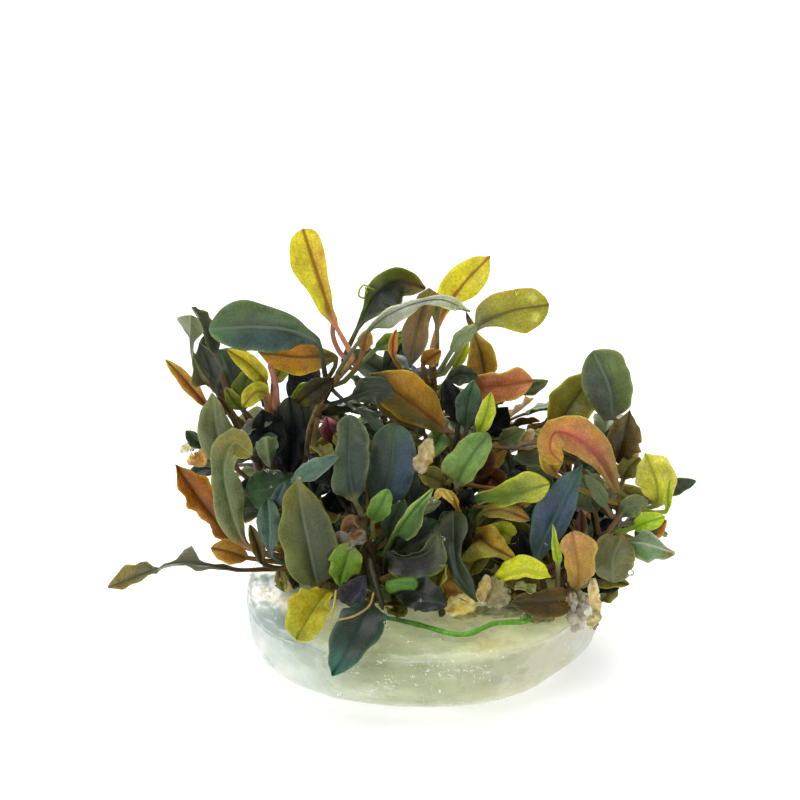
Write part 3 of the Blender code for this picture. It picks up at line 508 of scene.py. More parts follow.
LEAVES = [
    # Upper left
    Leaf("leaf_dark_top_left", "stem_top_left", 0.88,
         front((-21.2, 60.6, 4), (-27, 63, 2), (-34, 63.6, 0), (-42.8, 63, -2)), 8.8, "dark", widest=0.55,
         roll=(-10, 10), fold=14),
    Leaf("leaf_amber_left", "stem_top_left", 0.78, front((-20, 57, 9), (-27, 57.4, 9), (-33, 58.6, 8)),
         6.0, "amber", fold=10, wave=0.4),
    Leaf("leaf_twisted_far_left", BRANCH, 1.00, front((-42.6, 52, 4), (-46.4, 59, 3), (-46.6, 66.2, 4)),
         6.6, "sage", roll=(20, 80, 150), fold=8),
    Leaf("leaf_sage_left", "stem_left", 0.50, front((-37.6, 35.6, 1), (-41, 42, -2), (-42, 50.2, -2)),
         7.8, "sage", widest=0.45, fold=10),
    Leaf("leaf_black_upright", "stem_left", 0.40, front((-26.6, 34, 3), (-26, 41, 2), (-26.6, 49.6, 2)),
         4.8, "blue", roll=(10, -20), fold=20),
    # Lower left
    Leaf("leaf_sage_yellow_tip", "stem_front_left", 0.86,
         front((-35.4, 20, -4), (-38.6, 28, -6), (-39.8, 35.4, -7), (-37.6, 40.4, -8.6), (-34.2, 38, -11)),
         7.6, "sage", widest=0.55, roll=(0, 15), fold=14),
    Leaf("leaf_orange_left", "stem_front_left", 0.62, front((-36.6, 20, 0), (-43, 27, 1), (-49.4, 36, 0)),
         7.8, "orange", roll=(-15, 10), wave=0.7),
    Leaf("leaf_long_left", "stem_front_left", 1.00,
         front((-37, 15, -3), (-43.6, 15.8, -4), (-49, 16.2, -3), (-55, 14.6, -2), (-63, 11.4, -1)),
         5.0, "olive", widest=0.6, roll=(30, 65, 10), wave=0.5, waves=3),
    Leaf("leaf_glossy_dark", "stem_top_left", 0.36,
         front((-25.6, 33.6, 0), (-30, 31.6, -3), (-35.4, 30.4, -4)), 7.8, "dark", roll=(20, 10), fold=-10),
    Leaf("leaf_blue_left", "stem_front_left", 0.30,
         front((-30, 17.6, -5), (-30.6, 23, -6.5), (-31, 29.4, -6)), 5.0, "blue", widest=0.6,
         roll=(-20, 0)),
    Leaf("leaf_front_big", "stem_front", 0.94,
         front((-21.2, 12, -13), (-22.8, 20, -16), (-24.4, 28, -15.5), (-25, 33.8, -14)), 11.0, "olive",
         widest=0.4, fold=9, wave=0.4, waves=3),
    Leaf("leaf_bright_green", "stem_front", 0.62,
         front((-16.6, 12.4, -15), (-15.6, 16, -17), (-14.6, 20, -17.5)), 7.2, "green", widest=0.75,
         blunt=0.45),
    Leaf("leaf_over_rim_yellow", "stem_front", 0.77,
         front((-19, 10.6, -19), (-21.4, 7.6, -24.5), (-23.4, 4.6, -28), (-25.4, 1, -29)), 9.2, "yellow",
         widest=0.6, fold=16, roll=(20, 0), wave=0.5),
    Leaf("leaf_over_rim_dark", "stem_front", 0.38,
         front((-10.4, 8.2, -24), (-12.4, 4, -33), (-15.4, -1.6, -36.6), (-18.2, -6, -36.6)), 10.2, "dark",
         widest=0.6, fold=8, wave=0.4),
    # Centre
    Leaf("leaf_upright_centre", "stem_centre", 1.00,
         front((-13.8, 29.4, -9), (-14.8, 36, -9), (-14.6, 46, -6)), 7.6, "grey", widest=0.45, fold=14),
    Leaf("leaf_round_centre", "stem_centre", 0.80, front((-9, 27, -5), (-6.2, 36, -4), (-6, 44.4, -3)),
         9.6, "blue", widest=0.55, fold=8),
    Leaf("leaf_folded_light", "stem_centre", 0.45,
         front((-5.8, 22, -11), (-2.4, 26.5, -12.5), (2, 31.2, -12)), 5.2, "lime", fold=35, roll=(20, 20)),
    Leaf("leaf_cupped_dark", "stem_centre", 0.22,
         front((-7, 18, -13), (-3.4, 17.4, -16), (0.8, 18.6, -17), (3.2, 23, -16.6)), 7.6, "dark",
         widest=0.55, cup=0.25, roll=(10, 0)),
    Leaf("leaf_lying_dark", "stem_front", 0.08, front((-5, 11, -18), (-1, 10, -22), (4.8, 8, -24)),
         6.8, "dark", fold=10, roll=(-15, -15)),
    Leaf("leaf_long_curved", "stem_centre_right", 0.40,
         front((8.6, 24, -8), (6.8, 20, -14), (7.4, 14, -20), (11, 8.8, -23)), 4.2, "dark", roll=(30, 20),
         fold=20),
    Leaf("leaf_olive_star", "stem_centre_right", 0.24,
         front((11, 21.4, -7), (14, 19.4, -12), (18.8, 17, -14)), 9.2, "olive", widest=0.42, wave=1.0,
         fold=16),
    Leaf("leaf_lime_front", "stem_right_front", 0.08,
         front((14.6, 12.6, -17), (19.8, 14.6, -19.5), (25.6, 13.6, -21)), 6.0, "lime", widest=0.6,
         fold=-14, roll=(-10, 10)),
    Leaf("leaf_lime_right", "stem_centre_right", 0.52,
         front((10, 28.6, -6), (16.4, 30, -11), (25.2, 32.2, -15)), 6.8, "lime", widest=0.7, fold=14,
         roll=(15, 5)),
    Leaf("leaf_mid_green", "stem_centre_right", 0.66,
         front((6.8, 32, -6), (9, 36.8, -8), (13.2, 42.2, -7)), 7.0, "green", fold=12),
    Leaf("leaf_amber_centre", "stem_centre_right", 1.00,
         front((4.6, 43, 3), (-1.8, 48, 5), (-10.6, 54.2, 4)), 9.6, "amber", fold=10, wave=0.4),
    Leaf("leaf_dark_pointed", "stem_centre_right", 0.90,
         front((8.6, 43, -2), (9.2, 48, -2), (10.2, 53, -1)), 5.6, "dark", blunt=0.85, fold=16),
    # Top
    Leaf("leaf_tall_yellow", "stem_top_left", 1.00, front((-18, 65, 9), (-20.6, 73, 11), (-24, 83.2, 12)),
         7.6, "yellow", widest=0.72, blunt=0.5, taper=1.0, fold=9),
    Leaf("leaf_curled_top", "stem_top_left", 0.97,
         front((-12.4, 64.6, 11), (-9.2, 70, 14.5), (-4.6, 72.6, 16), (0.6, 71.4, 15)), 9.2, "dark",
         cup=0.35, roll=(-10, 20)),
    Leaf("leaf_arching", "stem_top_left", 0.93,
         front((-10.4, 63.4, 0.6), (-4.2, 67.4, 0), (3.4, 69.4, 0), (9.4, 66.6, 0)), 5.8, "grey",
         roll=(55, 62, 50), fold=10),
    Leaf("leaf_yellow_right", "stem_top_right", 1.00,
         front((3.4, 64.6, 14), (8, 72, 17), (13.4, 77.8, 18)), 7.8, "yellow", widest=0.55, fold=10),
    Leaf("leaf_olive_oval", "stem_top_right", 0.90, front((10.8, 63.6, 7), (17.6, 66.8, 6), (25.2, 68, 5)),
         9.4, "olive", widest=0.55, blunt=0.5, fold=10, roll=(10, 0)),
    Leaf("leaf_hanging_dark", "stem_top_right", 0.95,
         front((2.6, 66, 9), (1.2, 69.4, 7), (-1, 64, 5), (-2.6, 55.4, 5)), 4.8, "dark", widest=0.6,
         roll=(0, 10), fold=14),
    Leaf("leaf_orange_right", "stem_top_right", 0.76, front((9.4, 50.8, 9), (16, 51.8, 7), (22, 52.8, 6)),
         6.4, "orange", blunt=0.5, fold=10, wave=0.3),
    Leaf("leaf_olive_upright", "stem_back_right", 1.00,
         front((12.4, 53.6, 17), (11.6, 58, 15), (8.6, 66.6, 13)), 6.6, "olive", widest=0.35, blunt=1.0,
         fold=14),
    # Right
    Leaf("leaf_upright_right", "stem_right_back", 1.00, front((38, 45.6, 7), (37.4, 51, 8), (34, 58.8, 8)),
         9.8, "grey", fold=9),
    Leaf("leaf_olive_right", "stem_right_back", 0.45,
         front((26.4, 42, 11), (29.4, 47.6, 12), (34, 54, 12)), 9.2, "olive", fold=8),
    Leaf("leaf_pink_folded", "stem_right", 1.00,
         front((38.8, 31, -4), (36, 36.4, -5), (31.6, 41, -7), (26.8, 43, -9.5), (24.4, 39.4, -12)),
         9.4, "pink", fold=14, roll=(15, 0, -20)),
    Leaf("leaf_pale_lime", "stem_right", 0.93, front((46.4, 28, -2), (46.8, 32, -1), (44.4, 38.4, 0)),
         8.2, "lime", widest=0.45, fold=12),
    Leaf("leaf_twisted_right", "stem_right", 0.48,
         front((41.4, 20.6, -8), (45.4, 20, -10), (50.4, 18.4, -10)), 6.0, "green", roll=(-10, 40),
         fold=14),
    Leaf("leaf_round_olive", "stem_right", 0.60,
         front((39.6, 21.6, -11), (38, 17.5, -15), (38, 12.4, -16.5)), 8.6, "olive", blunt=0.5, fold=8),
    Leaf("leaf_orange_front", "stem_right_front", 0.94,
         front((30.8, 11.4, -15), (31, 16, -18), (29.8, 22.6, -18.5)), 7.4, "orange", fold=12),
    Leaf("leaf_blue_right", "stem_right_front", 0.62,
         front((23, 17, -11), (27, 26.6, -12), (31.8, 36, -11)), 8.6, "blue", fold=12),
    Leaf("leaf_brown_lying", "stem_right_front", 0.46,
         front((25, 9.8, -17), (22, 8.8, -20), (17.6, 7.6, -22)), 5.4, "brown", fold=10, wave=0.4),
    # Behind
    Leaf("leaf_back_left", "stem_back_left", 0.85, front((-25, 43, 32), (-31, 45, 36), (-38, 43, 37)),
         8.8, "grey", faces=Vector((-0.4, 0.7, 0.6))),
]

# Smaller leaves, grown together with their stem
SMALL_LEAVES = [
    Leaf("dark_left", BRANCH, 0.86, front((-40.6, 52, 0), (-42.6, 55, -1), (-46, 61, -1)), 5.4, "dark",
         roll=(-20, 0)),
    Leaf("folded_far_left", BRANCH, 0.60, front((-43, 47.6, 2), (-47.6, 53, 1), (-51.4, 57, 1)),
         3.6, "yellow", fold=35),
    Leaf("yellow_folded", "stem_left", 0.97, front((-31.4, 52, 4), (-34.6, 56, 2), (-39, 59, 1)),
         4.4, "yellow", fold=30),
    Leaf("wavy_grey", "stem_left", 0.90, front((-31, 45.6, 1), (-33.6, 46, 0), (-37, 46.6, 0)),
         6.0, "grey", wave=0.6),
    Leaf("drooping_left", "stem_left", 0.94, front((-31, 50, 2), (-33.4, 50.6, 0), (-36, 47.6, -1)),
         4.0, "yellow"),
    Leaf("amber_left", "stem_front_left", 0.74,
         front((-35, 17.4, -4), (-38.5, 18.6, -5), (-42.4, 19.4, -5)), 5.0, "amber"),
    Leaf("dark_purple", "stem_front", 0.50, front((-13.6, 11, -17), (-12.6, 12.6, -19), (-11, 14, -19.5)),
         5.0, "blue"),
    Leaf("bright", "stem_centre", 0.70, front((-10, 24.6, -11), (-8.4, 28, -12.5), (-7, 31, -12.5)),
         4.6, "green"),
    Leaf("dark_centre", "stem_centre", 0.60, front((-8, 22, -7), (-6, 25, -8), (-5, 28, -8)), 4.0, "dark"),
    Leaf("folded_yellow", "stem_centre_right", 0.85,
         front((11, 42, -4), (12.6, 46, -4.5), (13.6, 50.4, -4)), 3.8, "lime", fold=25),
    Leaf("dark_olive", "stem_centre_right", 0.74, front((4.6, 32.4, -3), (2, 33.6, -5), (-1, 34.6, -6)),
         4.4, "olive"),
    Leaf("green_behind", "stem_top_left", 0.86, front((-9.6, 59, 9), (-7, 60.6, 10), (-3.8, 61.6, 10)),
         3.4, "green"),
    Leaf("tan_top", "stem_top_right", 0.87, front((0, 56, 9), (1.4, 57.4, 8), (3.6, 58.8, 8)),
         3.6, "amber"),
    Leaf("yellow_narrow", "stem_top_right", 0.84, front((6, 55, 11), (7.4, 57.4, 11), (9, 60.6, 11)),
         2.4, "lime"),
    Leaf("crumpled_brown", "stem_right_back", 0.86,
         front((40, 39.6, 3), (40.8, 42.6, 1.5), (41.8, 46.6, 1)), 5.8, "brown"),
    Leaf("lime_small", "stem_right", 0.74, front((42, 23.4, -6), (45, 24.6, -8), (48.4, 25.6, -8)),
         4.0, "lime"),
    Leaf("narrow_right", "stem_right", 0.84, front((36.8, 27.4, -6), (35, 30.6, -8), (32.4, 34, -8)),
         3.0, "grey"),
    Leaf("dark_tip_right", "stem_right", 0.84, front((46, 29, 3), (50, 31.4, 4), (54.6, 32.8, 4)),
         3.4, "dark"),
    Leaf("lime_fold", "stem_right_front", 0.74, front((27, 16, -16), (26.6, 19, -17), (26, 24, -17)),
         2.8, "lime"),
]

# Smaller leaves of the clump's back and right back, grown together with their stem
BACK_LEAVES = [
    Leaf("back_middle", "stem_back", 0.55,
         [Vector((-5, 30, 31)), Vector((-3, 34, 33.5)), Vector((-0.5, 38.4, 33))], 7.4, "green",
         faces=Vector((0.1, 0.5, 0.8))),
    Leaf("back_right", "stem_back_right", 0.60,
         [Vector((18, 26, 31)), Vector((19, 31, 32)), Vector((20, 36.5, 30))], 7.0, "dark",
         faces=Vector((0.2, 0.4, 0.9))),
    Leaf("back_left", "stem_back_left", 0.80,
         [Vector((-22, 28, 36)), Vector((-20, 32.5, 37)), Vector((-17, 37, 36))], 7.0, "blue",
         faces=Vector((0.0, 0.4, 0.9))),
    Leaf("right_behind", "stem_right_back", 0.55,
         [Vector((37, 13, 30)), Vector((40.5, 17, 30.5)), Vector((44.5, 20.5, 29))], 7.0, "olive",
         faces=Vector((0.3, 0.4, 0.8))),
    Leaf("high_behind", "stem_right_back", 0.75,
         [Vector((36, 12, 39)), Vector((37, 16.5, 41)), Vector((38.5, 21.5, 41.5))], 6.4, "grey",
         faces=Vector((0.2, 0.3, 0.9))),
]

# Small leaves beyond those of the solids, as the front shows them
DETAIL_LEAVES = [
    # Upper left
    Leaf("hooked_grey", BRANCH, 0.95, front((-41.4, 58, 9), (-43.6, 63, 9), (-46, 67.6, 8)), 4.6, "sage",
         fold=26, roll=(20, 60)),
    Leaf("dark_far_left", BRANCH, 0.92, front((-41, 51.6, 6), (-42.6, 56, 6), (-43.6, 62, 5)), 5.2, "dark"),
    Leaf("grey_behind_left", "stem_left", 0.95, front((-32.6, 53, 12), (-36, 56, 12), (-41, 58.6, 11)),
         5.6, "grey", roll=(-20, 0)),
    Leaf("pale_pair", "stem_left", 0.99, front((-30, 52, 9), (-28.6, 54.6, 9), (-27, 57.4, 9)),
         3.6, "lime", fold=24),
    Leaf("drooping_dark", "stem_left", 0.97, front((-33.6, 55, 6), (-35.6, 52, 5), (-36, 47, 4)),
         5.0, "olive", fold=20, roll=(10, 30)),
    Leaf("tiny_yellow", "stem_left", 0.86, front((-36, 47, 4), (-38, 49, 4), (-39.4, 51.4, 4)),
         3.0, "yellow", fold=20),
    Leaf("stub_left", BRANCH, 0.35, front((-38.6, 46.4, 0), (-39.8, 48, -0.6), (-41, 49.6, -1)),
         1.7, "brown"),
    Leaf("dark_end_left", BRANCH, 0.25, front((-43.6, 40, 1), (-45.6, 41, 0), (-47.4, 42.8, 0)),
         3.4, "dark", fold=30),
    Leaf("black_wide", "stem_left", 0.30, front((-31.6, 37, 5), (-31, 42, 5), (-32, 47, 5)), 7.6, "black"),
    Leaf("olive_inside", "stem_top_left", 0.45, front((-21, 36, 9), (-19.4, 39, 9), (-18.6, 42, 9)),
         5.6, "olive"),
    Leaf("red_inside", "stem_centre", 0.96, front((-17.6, 40, 2), (-18.4, 42.6, 2), (-19.4, 45.6, 2)),
         4.2, "red"),
    Leaf("pale_teal", "stem_top_left", 0.30, front((-26, 33, -5), (-22, 34.6, -7), (-17, 37.6, -8)),
         4.4, "sage", fold=24, roll=(-15, -30)),
    Leaf("dark_under_wave", "stem_top_left", 0.80, front((-18, 53, 4), (-21.6, 51, 3), (-25.6, 48, 3)),
         5.4, "black", roll=(-20, -30), fold=20),
    # Lower left
    Leaf("olive_rim_left", "stem_front_left", 0.20,
         front((-28.6, 15, -8), (-28.2, 12.6, -9.6), (-28, 10.8, -10.6)), 2.8, "olive"),
    Leaf("brown_sheath_left", "stem_front_left", 0.55,
         front((-31.6, 16, -6), (-33, 19.6, -6), (-34.6, 24, -6)), 3.0, "brown", fold=26),
    Leaf("teal_side_left", "stem_front_left", 0.24,
         front((-29.6, 27, -4), (-28.8, 29.6, -5), (-27.6, 32.4, -5)), 3.0, "blue"),
    Leaf("dark_low_front", "stem_front", 0.82, front((-22, 9.6, -12), (-24, 8, -13), (-26.4, 8, -13)),
         3.8, "black"),
    # Centre
    Leaf("dark_by_light", "stem_centre", 0.40, front((-6.8, 21, -8), (-5.6, 25, -9), (-3.6, 29, -9)),
         5.0, "dark", fold=20),
    Leaf("dark_round_right", "stem_centre", 0.30,
         front((-4.6, 18.6, -9), (-1, 21.6, -11), (3.4, 24.6, -11)), 7.2, "dark"),
    Leaf("grey_small", "stem_centre", 0.50, front((-3.4, 26, -9), (-0.4, 27.4, -10), (3.6, 28.6, -10)),
         3.2, "grey", fold=20),
    Leaf("dark_round_centre", "stem_centre_right", 0.34,
         front((6.8, 22, -8), (5.4, 24.4, -9), (4.2, 26.6, -9)), 5.4, "dark"),
    Leaf("dark_olive_centre", "stem_centre_right", 0.60,
         front((4.6, 31.4, -1), (2, 33, -2), (-0.6, 35, -2)), 5.8, "black"),
    Leaf("dark_curl_centre", "stem_centre_right", 0.46,
         front((8, 27.6, -5), (8.6, 29.4, -6), (9.8, 31, -6)), 4.0, "black", cup=0.2),
    Leaf("gold_curl", "stem_centre_right", 0.44, front((7, 27, -8), (5.4, 30, -10), (2.8, 31, -11)),
         1.9, "gold", fold=30),
    Leaf("tan_low_right", "stem_centre_right", 0.42,
         front((11.6, 26.2, -5), (16, 27, -8), (21.4, 25, -10)), 3.8, "orange", roll=(-10, -20)),
    Leaf("ragged_lime", "stem_centre_right", 0.26, front((13, 21.6, -4), (16, 22.6, -6), (19, 20.6, -7)),
         4.4, "lime", wave=0.8),
    Leaf("red_dead_one", "stem_centre_right", 0.70, front((11, 31.6, 1), (13.6, 33.6, 0), (16.6, 31, -1)),
         5.2, "red", fold=34, wave=0.8),
    Leaf("red_dead_two", "stem_centre_right", 0.76, front((10.6, 34, 2), (12.6, 37, 1), (13, 40, 1)),
         5.0, "red", fold=30, wave=0.6),
    Leaf("star_lobe", "stem_centre_right", 0.22, front((12.4, 21, -13), (10.6, 17, -16), (9.0, 13.8, -17)),
         4.6, "lime"),
    Leaf("behind_centre_right", "stem_centre_right", 0.66,
         front((5.4, 30, 5), (8.4, 31.8, 5), (11.4, 33, 5)), 5.4, "black"),
    Leaf("behind_lime_right", "stem_centre_right", 0.58,
         front((16, 27.4, 1), (19.4, 28.4, 1), (22.4, 29, 1)), 4.6, "dark"),
    Leaf("behind_right_low", "stem_right", 0.60, front((34, 20.6, 5), (37, 22.4, 5), (40, 24.6, 5)),
         6.0, "black"),
    Leaf("behind_right_front", "stem_right_front", 0.85,
         front((26.6, 22.4, 1), (30, 24, 1), (33.4, 25, 1)), 5.4, "black"),
    Leaf("behind_pink", "stem_right", 0.80, front((30.2, 33.4, 3), (33, 35.6, 3), (35.8, 37.8, 3)),
         4.6, "dark"),
    Leaf("under_star", "stem_centre_right", 0.18, front((10, 15, -10), (12.4, 12.6, -14), (14, 9.4, -16)),
         4.2, "dark"),
    # Top
    Leaf("sage_wing", "stem_top_right", 0.92, front((5.6, 58.6, 8), (8, 61.6, 7.4), (10.8, 64, 7)),
         3.2, "sage"),
    Leaf("dark_middle_left", "stem_top_left", 0.78, front((-14, 49.6, 3), (-10, 51, 2), (-5.6, 50.6, 2)),
         5.6, "dark"),
    Leaf("orange_stub", "stem_top_right", 0.80, front((-5.6, 57, 10), (-6, 60, 9), (-5.4, 63, 8)),
         2.2, "pink", fold=30),
    Leaf("amber_narrow", "stem_top_left", 0.98, front((-12, 58.6, 6.5), (-11.6, 60.6, 7), (-11, 63, 7.5)),
         3.2, "amber"),
    Leaf("under_amber", "stem_centre_right", 0.98, front((3, 44.6, 6), (-3, 47, 8), (-10, 50, 9)),
         7.0, "brown"),
    Leaf("dark_right_of_amber", "stem_top_right", 0.72, front((5, 52.6, 8), (8, 54, 7), (11, 53.6, 6)),
         4.2, "olive", fold=20),
    Leaf("dark_strip", "stem_centre_right", 0.92, front((7, 44, 1), (6, 48.6, 2), (4.4, 53, 3)),
         4.4, "black"),
    Leaf("grey_tip_behind", "stem_back_right", 0.98, front((18, 51, 17), (21.4, 51.4, 15), (25, 52.8, 14)),
         3.2, "grey"),
    Leaf("round_dark", "stem_back_right", 0.72, front((12.6, 43, 9), (15, 45, 7), (17, 47.6, 6)),
         4.8, "black", blunt=0.5),
    Leaf("shiny_small", "stem_back_right", 0.62, front((15.6, 40.6, 6), (17.6, 41.6, 4), (20.4, 43, 3)),
         4.0, "grey", cup=0.25),
    # Right
    Leaf("gold_lobe", "stem_right", 0.96, front((26.6, 34, -6), (25.6, 38, -8), (26.4, 41.4, -9)),
         4.6, "gold", fold=14),
    Leaf("brown_lobe", "stem_right", 0.90, front((30.6, 36.6, -4), (28.4, 38, -6), (26.4, 37.6, -7)),
         3.4, "brown", cup=0.2),
    Leaf("olive_by_lime", "stem_right", 0.86, front((40, 33, 1), (41.4, 35.6, 1), (43.4, 37.4, 1)),
         4.6, "olive"),
    Leaf("grey_olive_right", "stem_right", 0.66, front((39.6, 26, -4), (42.4, 28, -5), (45, 28.6, -5)),
         4.4, "grey"),
    Leaf("dark_inside_right", "stem_right", 0.55, front((34, 25.6, -4), (35.6, 27.4, -5), (38, 27.6, -5)),
         3.8, "black"),
    Leaf("salmon_end", "stem_right", 0.70, front((43.4, 21, -3), (46, 22.4, -4), (48.6, 25, -4)),
         3.4, "pink"),
    Leaf("lime_strip", "stem_right", 0.95, front((48.4, 26.6, -4), (49, 30, -4), (49.4, 33, -4)),
         1.9, "lime", fold=20),
    Leaf("dark_green_lobe", "stem_right", 0.52, front((42.4, 21, -5), (44.6, 22.4, -6), (47, 22.6, -6)),
         3.6, "dark"),
    Leaf("brown_bit_right", "stem_right_front", 0.80,
         front((31, 21, -9), (31.6, 24, -10), (31.6, 27, -10)), 2.6, "red"),
    Leaf("olive_shoots", "stem_right_front", 0.90, front((33, 19, -8), (32, 22, -9), (30, 25, -9)),
         2.2, "olive", fold=26),
    Leaf("purple_bit", "stem_right_front", 0.60, front((24, 13.6, -14), (25.4, 14.8, -15), (27, 16, -15)),
         2.6, "purple"),
    Leaf("olive_low_right", "stem_right_front", 0.97,
         front((35.6, 9, -9), (37, 10.4, -10), (38.6, 13, -10)), 3.8, "olive"),
]

# Openings that the front shows between the leaves
OPENINGS = [
    (3.2, 59.6), (5.2, 57.4), (4.4, 61.0), (34.4, 44.0), (35.6, 43.2), (37.0, 45.0),
    (17.8, 48.0), (19.4, 47.2), (21.4, 48.2), (22.4, 45.4), (20.4, 48.8), (23.4, 47.0),
]

# Places where the leaves of chance have one colour: where, how far they reach, their colour
TONED_PLACES = [
    (-13.8, 49.6, 7.0, "dark"),
    (5.4, 28.0, 4.0, "black"),
    (19.0, 40.4, 4.5, "brown"),
    (-1.4, 63.6, 4.0, "dark"),
]

# How far small leaves that find no room are moved away from the eye, in the order tried
DETAIL_DEPTHS = (0.0, 1.0, -1.0, 2.0, -2.0, 3.0, 4.0, -3.0, 5.0, 6.0, 7.5, 9.0)

# Scraps of dead leaf: their way, width, and pale and dark colours
FLAKES = [
    (front((-1, 34.6, -7), (0.4, 38, -7), (1.8, 41, -7)), 3.8, ("#f0d8a4", "#b8904c")),
    (front((-47, 37.6, 0), (-45, 37, -1), (-43.4, 39, -1)), 3.0, ("#d0a060", "#8a5a28")),
    (front((-48.6, 38.6, 0), (-47, 39.6, 0), (-45.4, 39.4, 0)), 1.8, ("#e0dcc8", "#b0a888")),
    (front((16.6, 42, 3), (19.6, 41, 2), (22.4, 42.6, 1)), 3.0, ("#c8b090", "#8a7050")),
    (front((34.0, 13.4, -16), (34.2, 9.6, -18), (35, 6, -19)), 2.2, ("#fae8b8", "#e8b468")),
    (front((34.8, 7, -19), (34.4, 5.2, -20), (32.6, 4.6, -20)), 2.2, ("#d8d0a0", "#8a8a58")),
    (front((4.4, 6.8, -21), (7.6, 8.0, -21), (11, 9.6, -20)), 4.2, ("#ffe898", "#fcc450")),
    (front((13, 13, -17.6), (14.6, 10.4, -18.6), (16, 7.6, -20)), 5.4, ("#b8ac84", "#8c8258")),
    (front((18.4, 11.8, -18), (20.4, 11.4, -18.6), (22.6, 11.2, -18.4)), 3.2, ("#c4c884", "#92985a")),
    (front((-17.6, 20, -15), (-14.6, 21.6, -16), (-11.4, 22, -16)), 4.2, ("#8c8678", "#5c5448")),
    (front((2.4, 29, -12), (3.6, 30.6, -12.6), (6, 28.6, -12)), 1.6, ("#e0c060", "#b88c38")),
    (front((26.6, 10, -17), (28.6, 8.6, -18), (30, 10.4, -17)), 2.4, ("#c0a070", "#7a5c30")),
    (front((-28.4, 13.6, -9), (-27.2, 12, -10), (-26.8, 10.4, -10.6)), 1.8, ("#c8b478", "#7a6428")),
    (front((3.6, 15, -17), (6.4, 12, -18.4), (10.4, 9.4, -19.4)), 4.6, ("#b09a38", "#8a5418")),
    (front((10.6, 8.4, -19.8), (12, 11, -19.2), (12.8, 14, -18.6)), 2.4, ("#fcd890", "#e0b060")),
]

# Litter on the gel: how much, where, how large, and its pale and dark colours
LITTER_SEED = 5
LITTER_COUNT = 260
LITTER_MIDDLE = Vector((0.0, 3.0, 0.0))
LITTER_REACH = Vector((29.0, 22.0, 0.0))
LITTER_LENGTH = (4.0, 8.0)
LITTER_WIDTH = (2.2, 4.4)
LITTER_CLEAR = 0.5
LITTER_LOOKS = (
    ("#4a4420", "#2a2610"), ("#6a5c28", "#3a3014"), ("#8a7430", "#4a3a18"), ("#3a4420", "#1c2410"),
    ("#5c3c1c", "#2c1c0e"), ("#7c6a24", "#4c4418"), ("#46541c", "#2a3412"), ("#2c3020", "#141810"),
)

# Droplets: where they show, their depth and their width
DROPS = [
    (-36.4, 42.6, -1.6, 1.1), (4.0, 21.2, -19.4, 1.1), (1.8, 29.0, -14.0, 1.3), (41.6, 14.4, -17.6, 1.3),
    (-24.8, 33.4, -14.8, 0.8), (7.4, 67.4, -1.4, 0.8), (6.4, 67.0, -1.4, 0.6), (-31.2, 35.0, -6.4, 0.9),
    (-29.8, 34.4, -6.4, 0.7), (-30.4, 31.6, -6.6, 0.6), (17.0, 69.6, 5.0, 0.7), (18.6, 70.4, 5.0, 0.6),
    (15.6, 68.8, 5.0, 0.6), (38.4, 16.6, -9.0, 1.2), (39.2, 17.0, -9.4, 0.9), (-45.8, 38.8, -0.4, 1.6),
    (24.6, 20.2, -18.4, 0.6), (-0.6, 9.0, -24.4, 0.8), (-7.6, 4.4, -35.6, 0.7), (-7.0, 3.6, -35.6, 0.5),
    (14.0, 13.4, -18.6, 0.8),
]

# Painted glints, patches of white chips and crinkles on the gel: where they show, how far they spread and how
# many
CHIP_GLINT_SEED = 7
CHIP_GLINT_PATCHES = [
    (-7.0, -6.8, 1.6, 1.0, 14),
    (2.8, -5.0, 2.6, 1.0, 17),
    (-13.8, -4.2, 0.7, 0.9, 6),
    (-8.6, -3.2, 1.0, 0.6, 5),
    (-2.0, -6.8, 0.6, 0.7, 3),
    (-19.6, -2.4, 0.3, 1.4, 3),
    (12.0, -6.0, 5.0, 1.8, 11),
    (26.0, -2.0, 2.6, 2.2, 6),
    (29.0, -2.0, 0.6, 0.8, 4),
    (-7.4, 4.6, 1.0, 1.6, 4),
    (4.0, 3.0, 6.0, 0.8, 9),
    (14.0, 6.6, 3.0, 0.8, 8),
    (-12.0, -8.8, 6.0, 0.7, 6),
]

# Single painted glints on it, white and faintly glowing: where they show and their width
GLINTS = [
    (-30.0, 6.2, 0.6), (-29.4, 5.2, 0.75), (28.4, 0.2, 0.45), (16.0, -2.4, 0.45), (18.9, -4.4, 0.38),
    (13.3, -7.0, 0.45), (11.4, -6.6, 0.3), (16.9, -8.8, 0.38), (10.2, -7.4, 0.3), (8.2, -5.1, 0.38),
    (3.3, -9.2, 0.6), (20.4, 3.2, 0.38), (30.4, 3.8, 1.0),
]

